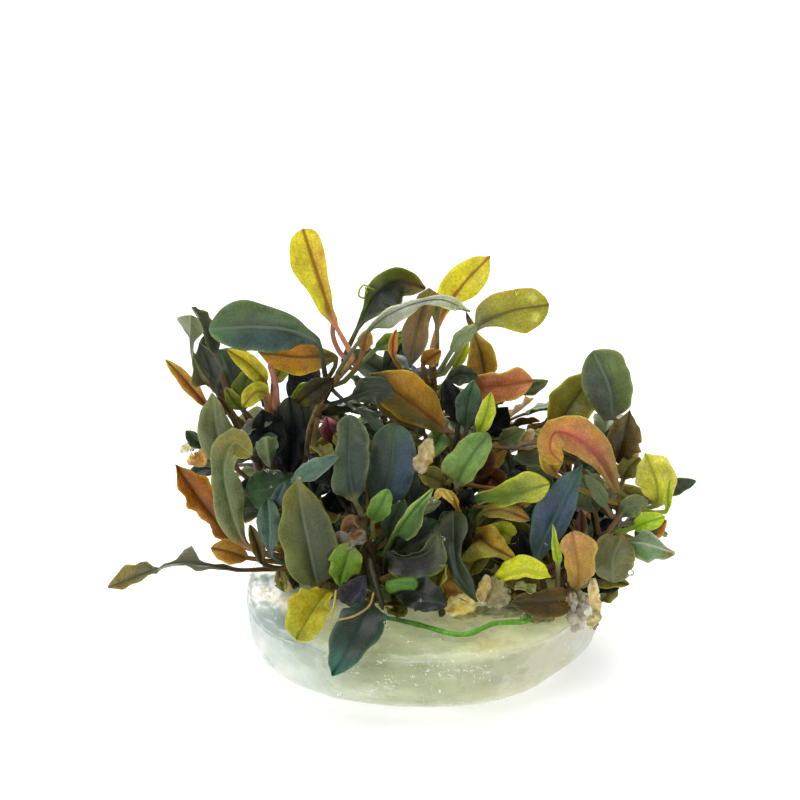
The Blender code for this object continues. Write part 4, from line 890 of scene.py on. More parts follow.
# Patches of tint on the gel: where they show, their half width and half height, colour and share
GEL_PATCHES = [
    (-31.4, 12.6, 2.6, 1.0, "#93a6a8", 0.8),
    (-32.6, 10.4, 2.4, 1.2, "#ece6cc", 1.0),
    (-29.4, 9.2, 2.6, 1.2, "#ece6ca", 1.0),
    (-26.4, 8.0, 2.2, 1.2, "#e8e2c2", 1.0),
    (-31.6, 5.2, 3.4, 3.2, "#a7b8bc", 0.85),
    (-28.0, 1.6, 4.4, 3.4, "#abbab4", 0.7),
    (-32.4, -0.6, 1.4, 3.0, "#e0e3d6", 0.7),
    (-27.0, -5.2, 4.4, 1.4, "#dbdfd0", 0.7),
    (-22.0, -2.2, 5.0, 2.6, "#b4bfaa", 0.6),
    (-4.0, -2.6, 8.0, 3.2, "#a3ac88", 0.8),
    (-11.0, -9.4, 8.0, 1.4, "#e0e5d0", 0.7),
    (5.0, -1.4, 5.0, 2.2, "#abb394", 0.6),
    (12.6, 0.2, 3.4, 1.6, "#ccc082", 0.6),
    (24.6, -1.6, 3.0, 2.2, "#c6bc9c", 0.5),
    (28.0, -3.2, 2.0, 1.6, "#b9b78e", 0.6),
    (15.0, -6.8, 5.0, 1.2, "#bfc3a8", 0.6),
    (31.8, -0.8, 2.0, 2.6, "#c8cdcc", 0.8),
    (-3.0, 2.6, 5.0, 1.6, "#c2ca9c", 0.7),
    (7.0, 4.8, 6.0, 1.6, "#cccb94", 0.7),
]

# How brightly the front half of the gel's top glows: a painted glow, emission in place of the floor's light
# carried into the plant's shade
GEL_PAINTED_GLOW = 0.34

# Loose lumps on the gel: where their foot shows, how far they stand over it, their size and colour
LUMPS = [
    (22.6, 5.0, 0.8, (4.6, 3.6, 3.0), "#a4a878"),
    (20.6, 4.8, 0.5, (2.2, 2.0, 2.0), "#b4c088"),
    (24.8, 4.8, 0.6, (2.2, 2.0, 2.0), "#989c78"),
    (30.4, 4.0, 1.2, (3.4, 3.0, 3.6), "#cfc4b4"),
    (31.6, 5.6, 3.0, (2.8, 2.4, 3.6), "#c2c0a8"),
    (29.6, 5.4, 3.2, (1.8, 1.8, 3.4), "#d0cdbc"),
    (34.2, 3.4, 1.0, (1.6, 1.4, 2.0), "#8c9874"),
    (15.0, 6.0, 0.3, (8.0, 3.0, 1.8), "#cccaa4"),
    (11.4, 6.4, 0.4, (3.4, 2.4, 1.8), "#d8d4a8"),
    (18.0, 6.8, 0.5, (3.0, 2.4, 2.0), "#bcbc94"),
    (8.0, 5.6, 0.3, (4.0, 2.4, 1.4), "#e4d49c"),
]

# Stalks, stubs and rolled edges without a blade: their way, radius and colour
THREADS = [
    (front((-33.2, 53, 3), (-31.6, 49.4, 3), (-30.4, 46.8, 3)), 0.55, "#b0705c"),
    (front((-30.8, 56.4, 3), (-29.4, 51.8, 3), (-29.2, 46.8, 3)), 0.55, "#b0705c"),
    (front((-7.4, 11.4, -22), (-4.4, 12.2, -22.4), (-1.0, 12.2, -22.6)), 1.25, "#4e7a1e"),
    (front((-9.8, 10.6, -31), (-10.8, 7.8, -34), (-13.8, 5.8, -36.5), (-17.6, 4.9, -37)), 0.2, "#a88848"),
    (front((-17.4, 11.0, -27), (-17.8, 8.0, -29), (-18.6, 4.8, -30.6)), 0.22, "#c8c050"),
    (front((-10.8, 17.4, -17), (-9.4, 12.4, -20), (-8.0, 7.0, -22.6)), 0.55, "#34341a"),
    (front((-17.9, 65, 9.6), (-18, 61.8, 9), (-16.4, 58.2, 8.4), (-14, 56.2, 8)), 0.5, "#b87864"),
]

# The tiny curl beside the curled top leaf: its radius, colour and way
CURL_RADIUS = 0.2
CURL_TINT = "#98a030"
CURL = [
    (-9.6, 71.0, 14), (-10.6, 71.4, 13.6), (-11.8, 72.0, 13.6), (-12.6, 71.2, 14), (-12.8, 69.8, 14.2),
    (-11.8, 69.4, 14), (-11.2, 70.4, 13.8), (-11.6, 71.6, 13.4),
]

# The clump's outer edge as seen from the front, which the fill leaves stay inside
CLUMP_EDGE = [
    (-48, 36), (-46, 40), (-44, 50), (-46, 58), (-40, 66), (-32, 67), (-23, 60), (-16, 61), (-10, 66),
    (6, 68), (13, 62), (15, 54), (24, 53), (33, 56), (41, 54), (43, 46), (43, 40), (50, 37), (51, 29),
    (50, 22), (44, 17), (40, 10), (30, 8), (15, 9), (-10, 9), (-22, 8), (-31, 14), (-41, 17), (-47, 27),
]

# The dense part of it, where the front shows no gaps
DENSE_EDGE = [
    (-43, 49), (-36, 48), (-31, 46), (-24, 54), (-15, 56), (-9, 59), (3, 59), (15, 52), (20, 50), (18, 44),
    (17, 39), (24, 38), (34, 42), (39, 43), (43, 38), (46, 33), (47, 25), (43, 17), (37, 10), (27, 8), (8, 9),
    (-7, 9), (-22, 8), (-31, 14), (-40, 17), (-44, 26), (-46, 36),
]

# The root lies on the gel's top near its front edge: x, y and its axis's height over the gel
ROOT_WAY = [
    (-7.4, -19.2, 0.9), (-3.8, -20.8, 0.9), (0.2, -23.0, 0.9), (3.2, -25.0, 0.9), (6.0, -26.4, 0.9),
    (8.8, -26.0, 0.9), (11.2, -23.8, 0.95), (13.4, -22.0, 1.0), (16.6, -21.4, 1.0), (19.4, -21.0, 1.0),
    (20.4, -19.6, 1.3),
]


def smooth_way(points, steps):
    """Points along a smooth curve through the given ones, with steps to each stretch."""
    ends = [points[0] * 2 - points[1]] + list(points) + [points[-1] * 2 - points[-2]]
    way = []
    for a, b, c, d in zip(ends, ends[1:], ends[2:], ends[3:]):
        ta = 0.0
        tb = ta + math.sqrt((b - a).length)
        tc = tb + math.sqrt((c - b).length)
        td = tc + math.sqrt((d - c).length)
        for step in range(steps):
            t = tb + (tc - tb) * step / steps
            ab = a.lerp(b, (t - ta) / (tb - ta))
            bc = b.lerp(c, (t - tb) / (tc - tb))
            cd = c.lerp(d, (t - tc) / (td - tc))
            abc = ab.lerp(bc, (t - ta) / (tc - ta))
            bcd = bc.lerp(cd, (t - tb) / (td - tb))
            way.append(abc.lerp(bcd, (t - tb) / (tc - tb)))
    return way + [points[-1].copy()]


def direction(around, rise):
    """The direction that points this far around from X and this far up."""
    return Vector((math.cos(around) * math.cos(rise), math.sin(around) * math.cos(rise), math.sin(rise)))


def square_to(along, facing):
    """The direction nearest to facing that is square to along."""
    return (facing - along * facing.dot(along)).normalized()


def stretches(way):
    """The lengths between a way's points."""
    return [(b - a).length for a, b in zip(way, way[1:])]


def point_along(way, share):
    """The point and direction at this share of a way's length."""
    lengths = stretches(way)
    left = share * sum(lengths)
    for a, b, length in zip(way, way[1:], lengths):
        if left <= length:
            return a.lerp(b, left / length), (b - a).normalized()
        left -= length
    return way[-1].copy(), (way[-1] - way[-2]).normalized()


def stem_radius(share):
    """A stem's radius at this share of its length."""
    return STEM_RADIUS + (STEM_TIP_RADIUS - STEM_RADIUS) * share


def beside(way, share, toward, clear):
    """Where a piece grows out of a stem, clear of its skin, and the direction that it leaves in."""
    on_stem, along = point_along(way, share)
    if share >= 1.0:
        return on_stem + along * clear, along
    out = square_to(along, toward - on_stem)
    return on_stem + out * (stem_radius(share) + clear), out


def blade_half_width(leaf, t):
    """The blade's half width at t, from its base at 0 to its tip at 1."""
    bend = math.log(0.5) / math.log(leaf.widest)
    power = leaf.taper if t < leaf.widest else leaf.blunt
    return 0.5 * leaf.width * max(math.sin(math.pi * t**bend), 0.0) ** power


def between(values, t):
    """The value at t of a tuple spread evenly from 0 to 1."""
    place = t * (len(values) - 1)
    low = min(int(place), len(values) - 2)
    return values[low] + (values[low + 1] - values[low]) * (place - low)


def outline_half_width(leaf, t, side, seen_share, seed):
    """A fine leaf's half width on one side at t, from its measured outline where it has one."""
    values = OUTLINES.get(leaf.name)
    size, turns = RUFFLES.get(leaf.name, (RUFFLE * min(leaf.width / 7.0, 1.0), RUFFLE_TURNS))
    wave = math.sin(t * turns + seed + side) * math.sin(math.pi * t)
    wave += 0.8 * noise.noise(Vector((t * 9.0, side * 3.0, seed))) * smooth(0.0, 0.2, t)
    ruffle = size * wave
    if values is None:
        return blade_half_width(leaf, t) + ruffle
    half = curved(values[0] if side < 0 else values[1], t) + ruffle
    return half * math.sqrt(max(1.0 - t**14, 0.0)) / max(seen_share, 0.6)


def curved(values, t):
    """The value at t of a smooth curve through values that are spread evenly from 0 to 1."""
    place = t * (len(values) - 1)
    low = min(int(place), len(values) - 2)
    share = place - low
    a, b, c, d = (values[min(max(low + step, 0), len(values) - 1)] for step in (-1, 0, 1, 2))
    bend = (2 * a - 5 * b + 4 * c - d) * share * share + (3 * b - a - 3 * c + d) * share**3
    return b + 0.5 * ((c - a) * share + bend)


def leaf_line(leaf, way, clear, steps=8):
    """A leaf's way from its stem to its tip, and the share of its length at which the blade begins."""
    start, out = beside(way, leaf.at, leaf.blade[0], clear)
    line = smooth_way([start, start + out * SHEATH_LENGTH] + leaf.blade, steps)
    lengths = stretches(line)
    return line, sum(lengths[: 2 * steps]) / sum(lengths)


def section(leaf, line, first, share):
    """A leaf's section at a share of its length: centre, directions across and out, t and half width."""
    centre, along = point_along(line, share)
    t = max(share - first, 0.0) / (1.0 - first)
    facing = square_to(along, leaf.faces or (EYE - centre))
    facing = Matrix.Rotation(math.radians(between(leaf.roll, t)), 3, along) @ facing
    across = along.cross(facing)
    if share < first:
        return centre, across, facing, t, STALK_WIDTH / 2
    least = STALK_WIDTH / 2 + (TIP_WIDTH - STALK_WIDTH) / 2 * t
    return centre, across, facing, t, max(blade_half_width(leaf, t), least)


def fold_and_lift(leaf, t, half, side):
    """How far the blade is folded at t, in radians, and how far a side of it stands out of its middle."""
    fold = math.radians(leaf.fold) * math.sin(math.pi * min(t * 3.0, 0.5))
    lift = abs(side) * half * math.sin(fold) + leaf.cup * half * side * side
    lift += leaf.wave * side * side * math.sin(math.tau * leaf.waves * t + side) * math.sin(math.pi * t)
    return fold, lift


def row_share(row, rows, first):
    """The share along the leaf of one of its net's rows, which crowd toward the tip."""
    stalk_rows = max(1, round(rows * STALK_SHARE))
    if row <= stalk_rows:
        return first * row / stalk_rows
    t = (row - stalk_rows) / (rows - stalk_rows)
    return first + (1.0 - first) * math.sin(t * math.pi / 2.0) ** 1.15


def leaf_net(leaf, way):
    """A leaf's middle surface as a few points and faces, to test what it touches."""
    line, first = leaf_line(leaf, way, GAP)
    points = []
    for row in range(NET_ROWS + 1):
        share = row_share(row, NET_ROWS, first)
        centre, across, facing, t, half = section(leaf, line, first, share)
        for side in range(-1, NET_COLUMNS):
            if share < first:
                points.append(centre + across * (side * half))
                continue
            fold, lift = fold_and_lift(leaf, t, half, side)
            points.append(centre + across * (side * half * math.cos(fold)) + facing * lift)
    faces = [
        (row * 3 + side, row * 3 + side + 1, row * 3 + side + 4, row * 3 + side + 3)
        for row in range(NET_ROWS)
        for side in range(NET_COLUMNS)
    ]
    return points, faces


def stem_net(way):
    """A stem as two ribbons that cross along its axis."""
    points = []
    faces = []
    for across in (Vector((STEM_RADIUS, 0.0, 0.0)), Vector((0.0, STEM_RADIUS, STEM_RADIUS / 2))):
        first = len(points)
        for point in way:
            points += [point - across, point + across]
        faces += [(i, i + 1, i + 3, i + 2) for i in range(first, len(points) - 2, 2)]
    return points, faces


def tree_of(nets):
    """One search tree for many nets."""
    points = []
    faces = []
    for net_points, net_faces in nets:
        faces += [tuple(index + len(points) for index in face) for face in net_faces]
        points += net_points
    return BVHTree.FromPolygons(points, faces)


def inside(across, up, edge):
    """Whether a place as seen from the front is inside an edge."""
    within = False
    for (ax, ay), (bx, by) in zip(edge, edge[1:] + edge[:1]):
        if (ay > up) != (by > up) and across < ax + (bx - ax) * (up - ay) / (by - ay):
            within = not within
    return within


def chance_leaf(name, stem, way, rng):
    """A leaf of chance size and direction at a chance place on a stem."""
    at = rng.uniform(0.15, 0.95)
    on_stem, _ = point_along(way, at)
    turn = rng.uniform(0.0, math.tau)
    rise = math.radians(rng.uniform(*FILL_RISE))
    length = rng.uniform(*FILL_LENGTH)
    width = length * rng.uniform(*FILL_SHAPE)
    droop = Vector((0.0, 0.0, -length * rng.uniform(*FILL_DROOP)))
    out = direction(turn, rise)
    blade = [
        on_stem + out * length * 0.3,
        on_stem + out * length * 0.65 + droop * 0.3,
        on_stem + out * length + droop,
    ]
    faces = Vector((out.x * 0.3, out.y * 0.3 - 0.3, 1.0))
    tone = rng.choice(FILL_COLOURS)
    roll = rng.uniform(-30, 30)
    return Leaf(name, stem, at, blade, width, tone, faces=faces, roll=(roll, roll))


def surround(points):
    """The middle of some points and how far they reach from it."""
    middle = sum(points, Vector()) / len(points)
    return middle, max((point - middle).length for point in points)


class Room:
    """What stands where: the placed leaves, the stems, and the further leaves found so far."""

    def __init__(self, ways, placed):
        self.ways = ways
        self.placed = tree_of([leaf_net(leaf, ways[leaf.stem]) for leaf in placed])
        self.stems = tree_of([stem_net(way) for way in ways.values()])
        self.nets = []

    def covers(self, point):
        """Whether a point hides a placed leaf from the front."""
        ray = point - EYE
        hit = self.placed.ray_cast(EYE, ray.normalized())
        return hit[0] is not None and hit[3] > ray.length

    def meets(self, eye, point):
        """Whether anything stands on the line from eye through point and a good way past it."""
        way = (point - eye).normalized()
        reach = (point - eye).length + SIGHT_PAST
        trees = [self.placed, self.stems] + [tree for tree, _, _ in self.nets]
        return any(tree.ray_cast(eye, way, reach)[0] is not None for tree in trees)

    def near(self, point, clear):
        """Whether anything stands closer to a point than clear."""
        trees = [self.placed, self.stems]
        trees += [tree for tree, place, size in self.nets if (place - point).length < size]
        return any(tree.find_nearest(point, clear)[0] is not None for tree in trees)

    def keep(self, leaf):
        """Adds a leaf without a test."""
        points, faces = leaf_net(leaf, self.ways[leaf.stem])
        self.nets.append((BVHTree.FromPolygons(points, faces), *surround(points)))

    def takes(self, leaf, clear, free=False):
        """Adds a leaf if it touches nothing and, unless free, stays in the clump and hides no placed leaf."""
        points, faces = leaf_net(leaf, self.ways[leaf.stem])
        blade = points[NET_STALK_POINTS:]
        if min(point.z for point in points) < GEL_HEIGHT + clear and not free:
            return False
        if max(point.y for point in points) > FILL_BACK:
            return False
        if not free and not all(inside(*shown(point), CLUMP_EDGE) for point in blade):
            return False
        if any(self.placed.find_nearest(point, clear)[0] for point in points):
            return False
        if any(self.stems.find_nearest(point, clear)[0] for point in blade):
            return False
        own = BVHTree.FromPolygons(points, faces)
        if own.overlap(self.placed) or own.overlap(self.stems):
            return False
        middle, reach = surround(points)
        near = [tree for tree, place, size in self.nets if (place - middle).length < size + reach + clear]
        if any(tree.find_nearest(point, clear)[0] for tree in near for point in points):
            return False
        if any(own.overlap(tree) for tree in near):
            return False
        if not free and any(self.covers(point) for point in points):
            return False
        self.nets.append((own, middle, reach))
        return True


def chance_leaves(room):
    """The chance leaves of the solids, which fit between what stands there."""
    rng = random.Random(FILL_SEED)
    names = sorted(room.ways)
    found = []
    for number in range(FILL_TRIES):
        stem = names[number % len(names)]
        leaf = chance_leaf(f"fill_{number}", stem, room.ways[stem], rng)
        if room.takes(leaf, FILL_CLEAR):
            found.append(leaf)
            if len(found) == FILL_COUNT:
                break
    return found


def reaching_leaf(name, ways, target, facing, rng):
    """A leaf from the nearest fitting stem, with its blade's middle at target and its face toward facing."""
    best = None
    for stem, way in ways.items():
        for share in REACH_SHARES:
            foot, _ = point_along(way, share)
            reach = (target - foot).length
            rise = (target.z - foot.z) / max(reach, 0.1)
            cost = abs(reach - REACH_WANTED) + 4.0 * max(0.1 - rise, 0.0) + rng.uniform(0.0, 3.0)
            if REACH_LEAST < reach < REACH_MOST and (best is None or cost < best[0]):
                best = (cost, stem, share, foot)
    if best is None:
        return None
    _, stem, share, foot = best
    length = rng.uniform(*MORE_LENGTH)
    out = (target - foot).normalized()
    turn = Vector((rng.uniform(-1, 1), rng.uniform(-1, 1), rng.uniform(-0.3, 1.0))) * 0.55
    ahead = (out + turn).normalized()
    droop = Vector((0.0, 0.0, -length * rng.uniform(0.0, 0.2)))
    blade = [target - ahead * length * 0.5, target.copy(), target + ahead * length * 0.5 + droop]
    width = length * rng.uniform(*MORE_SHAPE)
    roll = rng.uniform(-25, 25)
    return Leaf(
        name, stem, share, blade, width, rng.choice(MORE_COLOURS), faces=facing,
        roll=(roll, roll + rng.uniform(-35, 35)), fold=rng.uniform(6, 26), wave=rng.uniform(0.1, 0.7),
        waves=rng.choice((2.0, 3.0)), widest=rng.uniform(0.42, 0.62), cup=rng.uniform(-0.05, 0.15),
    )


def fills_opening(room, leaf):
    """Whether a leaf would close one of the openings that the front shows."""
    net = BVHTree.FromPolygons(*leaf_net(leaf, room.ways[leaf.stem]))
    for across, up in OPENINGS:
        ray = (seen(across, up, 0.0) - EYE).normalized()
        if net.ray_cast(EYE, ray)[0] is not None:
            return True
    return False


def toned(leaf):
    """The leaf in the colour that the front shows round its middle, where that is known."""
    across, up = shown(leaf.blade[1])
    for middle, height, reach, tone in TONED_PLACES:
        if math.hypot(across - middle, up - height) < reach:
            return replace(leaf, colour=tone)
    return leaf


def gap_place(room, rng):
    """A place in a gap that the front shows in the dense part of the clump, and a direction to face."""
    across, up = rng.uniform(-50, 50), rng.uniform(6, 60)
    if not inside(across, up, DENSE_EDGE) or room.meets(EYE, seen(across, up, 0.0)):
        return None
    far = (up - 16.0) / 0.40
    depth = rng.uniform(max(-30.0, far - 45.0), min(far, 32.0))
    target = seen(across, up, depth)
    tilt = Vector((rng.uniform(-0.7, 0.7), rng.uniform(-0.2, 0.2), rng.uniform(-0.3, 0.9)))
    facing = (EYE - target).normalized() + tilt
    return target, facing.normalized()


def shell_place(room, rng):
    """A bare place on the clump's sides, back or top, and a direction to face, outward."""
    around = rng.uniform(0.0, math.tau)
    out = direction(around, math.asin(rng.uniform(-0.1, 1.0)))
    deep = rng.uniform(0.55, 0.95)
    target = CLUMP_MIDDLE + Vector([a * b * deep for a, b in zip(out, CLUMP_REACH)])
    if target.z < GEL_HEIGHT + 2.0 or not inside(*shown(target), CLUMP_EDGE):
        return None
    if room.meets(target + out * SIGHT_FROM, target):
        return None
    tilt = Vector((rng.uniform(-0.5, 0.5), rng.uniform(-0.5, 0.5), rng.uniform(-0.2, 0.8)))
    return target, (out + tilt).normalized()


def more_leaves(room, kind, seed, count, tries, pick):
    """Leaves that fit at the places that pick finds, named after their kind."""
    rng = random.Random(seed)
    found = []
    for number in range(tries):
        picked = pick(room, rng)
        if picked is None:
            continue
        leaf = reaching_leaf(f"{kind}_{number}", room.ways, *picked, rng)
        if leaf and not fills_opening(room, leaf) and room.takes(leaf, MORE_CLEAR):
            found.append(leaf)
            if len(found) == count:
                break
    return found


def moved_away(leaf, depth):
    """The leaf moved away from the eye, at the same place in the view."""
    blade = [point + (point - EYE).normalized() * depth for point in leaf.blade]
    return replace(leaf, blade=blade)


def stem_ways(steps):
    """Each stem's smooth way, by its name."""
    ways = {name: smooth_way(points, steps) for name, points in STEMS.items()}
    coarse = smooth_way(STEMS[BRANCH_FROM[0]], STEM_STEPS)
    start, out = beside(coarse, BRANCH_FROM[1], BRANCH_POINTS[0], GAP)
    ways[BRANCH] = smooth_way([start, start + out * SHEATH_LENGTH] + BRANCH_POINTS, steps)
    return ways


def grow_small_leaves(ways):
    """All stems' small leaves, and the room that these and the placed leaves take up."""
    room = Room(ways, LEAVES + SMALL_LEAVES)
    small = list(SMALL_LEAVES)
    small += map(toned, chance_leaves(room))
    for leaf in BACK_LEAVES:
        room.keep(leaf)
        small.append(leaf)
    for leaf in DETAIL_LEAVES:
        for depth in DETAIL_DEPTHS:
            moved = moved_away(leaf, depth)
            if room.takes(moved, DETAIL_CLEAR, free=True):
                small.append(moved)
                break
    small += map(toned, more_leaves(room, "gap", GAP_SEED, GAP_COUNT, GAP_TRIES, gap_place))
    small += map(toned, more_leaves(room, "shell", SHELL_SEED, SHELL_COUNT, SHELL_TRIES, shell_place))
    return small, room


@dataclass
class Look:
    """A leaf's colours: along its blade, of either half, and of its edge, midrib and stalk."""

    base: str
    middle: str
    tip: str
    edge: str
    rib: str
    stalk: str
    left: str = ""
    right: str = ""


# Leaves of one colour share a look, and those that stand out have their own below: the colours in the order
# that Look has them
LOOKS = {
    "dark": "#273721 #31432c #3c542e #4f6b3b #4f6446 #4a4a2e",
    "blue": "#263835 #324640 #405e42 #4f6d59 #516d65 #4c5240",
    "green": "#466621 #5d872e #759c38 #8fb048 #50752e #7a8a40",
    "olive": "#5c5821 #71712a #878932 #9c983b #5a4a21 #8a7439",
    "grey": "#4a5a3a #64734b #75834b #899658 #7b8b62 #8a6a4b",
    "sage": "#5c673b #738253 #899355 #9ea668 #94a06b #a87a5e",
    "lime": "#8fa41c #adbc25 #c4ca2c #d5d54e #95a822 #98a032",
    "yellow": "#9b952a #afac27 #bcb22a #cac045 #907d25 #b8844f",
    "amber": "#73541c #986f21 #a47f27 #b69b39 #734c19 #8a6432",
    "orange": "#806222 #a77b27 #b38735 #be9f3e #84541c #8a6a35",
    "pink": "#96802c #bc8044 #c3903b #c7a341 #a06034 #8a7a35",
    "brown": "#483d16 #574a1a #655820 #7e6d29 #403714 #5a4a27",
    # Near-black: partly a dark leaf's own colour, partly painted shade deep inside the clump
    "black": "#080b0a #0c100e #131a15 #182018 #141a16 #2c2a1c",
    "red": "#422311 #543017 #63441e #6e4f27 #351d0f #5a3a20",
    "purple": "#42282b #533035 #5f3f39 #6e4e43 #352124 #5a402e",
    "gold": "#a07f24 #c49d31 #d0b044 #d8c058 #8e6c21 #a88c35",
    # Its teal and green half colours paint the sheen and shade that its folded halves catch
    "leaf_dark_top_left": "#424c3d #405244 #4e733f #5a764a #7b8c72 #454c35 #324f4e #527140",
    "leaf_amber_left": "#54602c #b08222 #ae8a27 #bbaa30 #805a1a #6a6a32",
    "leaf_twisted_far_left": "#463c24 #566444 #66744c #8c9860 #9ca473 #705034",
    "leaf_sage_left": "#4d593a #66714b #798249 #878f55 #878b64 #7e6040",
    "leaf_black_upright": "#05070c #090b11 #3c4232 #171c1c #0e1218 #3a3023",
    "leaf_sage_yellow_tip": "#6b6b3b #647348 #80761a #878f54 #85905c #b88a68",
    "leaf_orange_left": "#6f4913 #855314 #915f1e #a17721 #613c0e #8a5e35",
    "leaf_long_left": "#444430 #535b3e #918034 #7d8250 #424a3e #5a462a",
    "leaf_glossy_dark": "#284528 #324f2c #34602d #51823d #42603d #384629",
    "leaf_blue_left": "#485f51 #455c4d #426443 #547651 #64816c #4a5a4b",
    "leaf_front_big": "#373d2b #495136 #8a862c #717c38 #717e60 #5a5a35 #626e31 #465038",
    "leaf_bright_green": "#669514 #6a8f1a #6a8229 #9aab32 #4f7111 #6a8a2a",
    "leaf_over_rim_yellow": "#a79a1d #aca81b #a1a417 #c8bc34 #808415 #8c8a39",
    "leaf_over_rim_dark": "#1e2c22 #28382c #2e6a56 #3c6a54 #2a3c30 #4a442a",
    "leaf_upright_centre": "#2e3e4c #3f4c3b #495837 #77835e #4e5f4c #8f8c5c #4c5f44 #35463a",
    "leaf_round_centre": "#2b3f3a #3f5149 #496041 #627a62 #496055 #5a644f #3f5149 #38506a",
    "leaf_folded_light": "#51832c #6e993e #9fb765 #aec672 #517a31 #6a8a40 #8fae5e #274a14",
    "leaf_cupped_dark": "#1b1c14 #242622 #46541f #758d38 #3e4c2d #3a3a27",
    "leaf_lying_dark": "#0e1c08 #121e10 #181f16 #2c3e26 #28362a #344427",
    "leaf_long_curved": "#343c22 #26341c #1c3016 #44543a #44543a #4a4a2e",
    "leaf_olive_star": "#5e4626 #a08828 #b8aa2a #d0bd2f #6b481e #a09032 #b8922a #a4a445",
    "leaf_lime_front": "#c6c616 #d9dc17 #e7ea1c #f1f03b #b4bd13 #a0a02a",
    "leaf_lime_right": "#3c5834 #74882e #b8bc2a #b8c030 #6c8c30 #46602c",
    "leaf_mid_green": "#5c7036 #6f9340 #6a933d #8eaa56 #506f34 #9a8a65",
    "leaf_amber_centre": "#805318 #9c7827 #536f48 #ba9427 #715320 #7a5a2a #465327 #ab8123",
    "leaf_dark_pointed": "#2a3727 #2a442e #3c6535 #466543 #3c563c #3a3a27",
    "leaf_tall_yellow": "#bfae38 #d2c838 #cdc232 #b3af2a #93622a #c88a65 #bbbb26 #c8a637",
    "leaf_curled_top": "#3c4c30 #262e22 #8a7418 #84a030 #253211 #4a502a #5a6e22 #2a3224",
    # Its near-white edge colour is a painted highlight along the arch's lit edge
    "leaf_arching": "#7c8c68 #b4bcaa #a4b078 #eef0d0 #3c4a3c #6a6a48",
    "leaf_yellow_right": "#c4b13a #d5ce34 #ccc63a #c0c23c #97672c #d08a5e",
    "leaf_olive_oval": "#7c8458 #96972a #9c9a29 #b49a35 #676029 #9aa065",
    "leaf_hanging_dark": "#7c8c20 #785a22 #1c3034 #66753c #44502c #8a8048",
    "leaf_orange_right": "#7c4a2c #b06c44 #c88860 #eec156 #996223 #7a6a35",
    "leaf_olive_upright": "#a8903c #a8903c #7c8c6c #cac654 #805f2e #9a8a40",
    "leaf_upright_right": "#48574d #54634d #5a763c #778f51 #778577 #5a5c3d #4a5c51 #5a763e",
    "leaf_olive_right": "#67591a #66731c #677817 #969f2b #534517 #6a5c2e",
    "leaf_pink_folded": "#5a5030 #c4705a #c49a3c #a8903a #b0604a #7a7832 #ac843c #ac843c",
    "leaf_pale_lime": "#c0c42c #c6c848 #d8d65c #dcd878 #98a43c #8a9040",
    # Its pale midrib colour is a painted highlight across the blade's middle
    "leaf_twisted_right": "#5f8052 #8aa67c #94783a #b0c49c #cad4c0 #5a7a40 #748c6a #558a4c",
    "leaf_round_olive": "#746631 #656c44 #67704b #99954b #7e8455 #7a7a39",
    "leaf_orange_front": "#736430 #ae893c #c08e56 #d1ae48 #a1732e #8a7a35",
    "leaf_blue_right": "#2e4348 #3e5468 #456451 #506e56 #506e65 #345844",
    "leaf_brown_lying": "#5e4a10 #4a3c14 #3a3a22 #7a6420 #4c4316 #5a4c23",
    "dark_left": "#343c30 #3c4438 #444e3a #5a644c #4c564a #4a4030",
    "wavy_grey": "#5e6152 #6c6c5c #74786a #8c9078 #7a7c6c #5c4a36",
    "folded_far_left": "#a06a48 #a87c3c #b8a034 #c0b048 #8a5c34 #a06850",
    "lime_small": "#86b42c #a6cc22 #b4d420 #c6e040 #8cb022 #8ca838",
    "crumpled_brown": "#2e2c10 #4c4420 #6e6230 #6a5c2c #342c12 #4a3c1c",
    "lime_fold": "#9cb42c #b0c42c #c6d650 #d8e070 #98b028 #7a7a48",
    "dark_purple": "#1e1e22 #22222c #2c2c3a #3a3a48 #2c2c38 #2c281c",
    "dark_round_right": "#18240f #24321c #2c4018 #3a4c28 #2c3820 #18240f",
    "tan_low_right": "#7c8444 #a08c3c #b8883a #b89c50 #8a6a30 #7c8444",
    "pale_teal": "#4c6a56 #5c7a68 #44604c #88a08c #6c8a78 #4c6a56",
    "red_inside": "#2c0c10 #4c141c #c07878 #6a2c30 #3a1014 #2c0c10",
    "dark_olive_centre": "#2e3020 #3a3a22 #44442a #54543a #3a3a28 #2e3020",
    "dark_right_of_amber": "#34402a #34402a #3c4830 #50603c #44503a #34402a",
    "drooping_dark": "#3a4c10 #54661a #8c9a14 #7c8c28 #44540e #3a4c10",
    "dark_under_wave": "#2c2418 #3a3220 #6c6c1c #5c5424 #342c1c #2c2418",
    "star_lobe": "#7c6c30 #8c8a40 #a4a03c #b4ac48 #6c5424 #7c6c30",
    "sage_wing": "#6c7c50 #7c8c60 #8c9c6c #a0ac7c #8c9870 #6c7c50",
    "dark_middle_left": "#242e20 #2c3824 #34402a #44503a #3a4632 #242e20",
    "hooked_grey": "#3e4a34 #4a583e #5c6a48 #7c8a5c #6c7a5c #7a5a44",
    "pale_pair": "#6c7a30 #8c9a40 #a4ac58 #b4bc68 #7c8a3c #b0705c",
    "tiny_yellow": "#5c6a1c #74822a #8c9a34 #a4b04c #64722a #7a5a44",
    "leaf_back_left": "#4a5631 #667146 #747d3b #8a9151 #8a9362 #6a5a3d",
}

# Pale spots on blades: where along and across, their size and colour
SPOTS = {"leaf_olive_oval": ((0.80, -0.5, 0.06, "#c8cc60"), (0.82, 0.5, 0.06, "#c8cc60"))}

# Soft lamps: where each stands and how wide it is, in metres, and its power
LAMPS = {
    "lamp_above": ((0.0, 0.2, 1.0), 1.0, 6.2),
    "lamp_behind": ((-0.2, 0.9, 0.5), 0.6, 6.0),
    "lamp_front": ((-0.5, -0.6, 0.45), 0.4, 2.0),
}
LAMPS_AIM = (0.0, 0.0, 0.04)
SKY_POWER = 0.32

# A stem's dark and light colours
STEM_LOOK = ("#3a2c16", "#7a6c38")
STEM_LOOKS = {"stem_top_left": ("#7a5c34", "#a8894f"), "stem_far_left": ("#5a4426", "#94783c")}

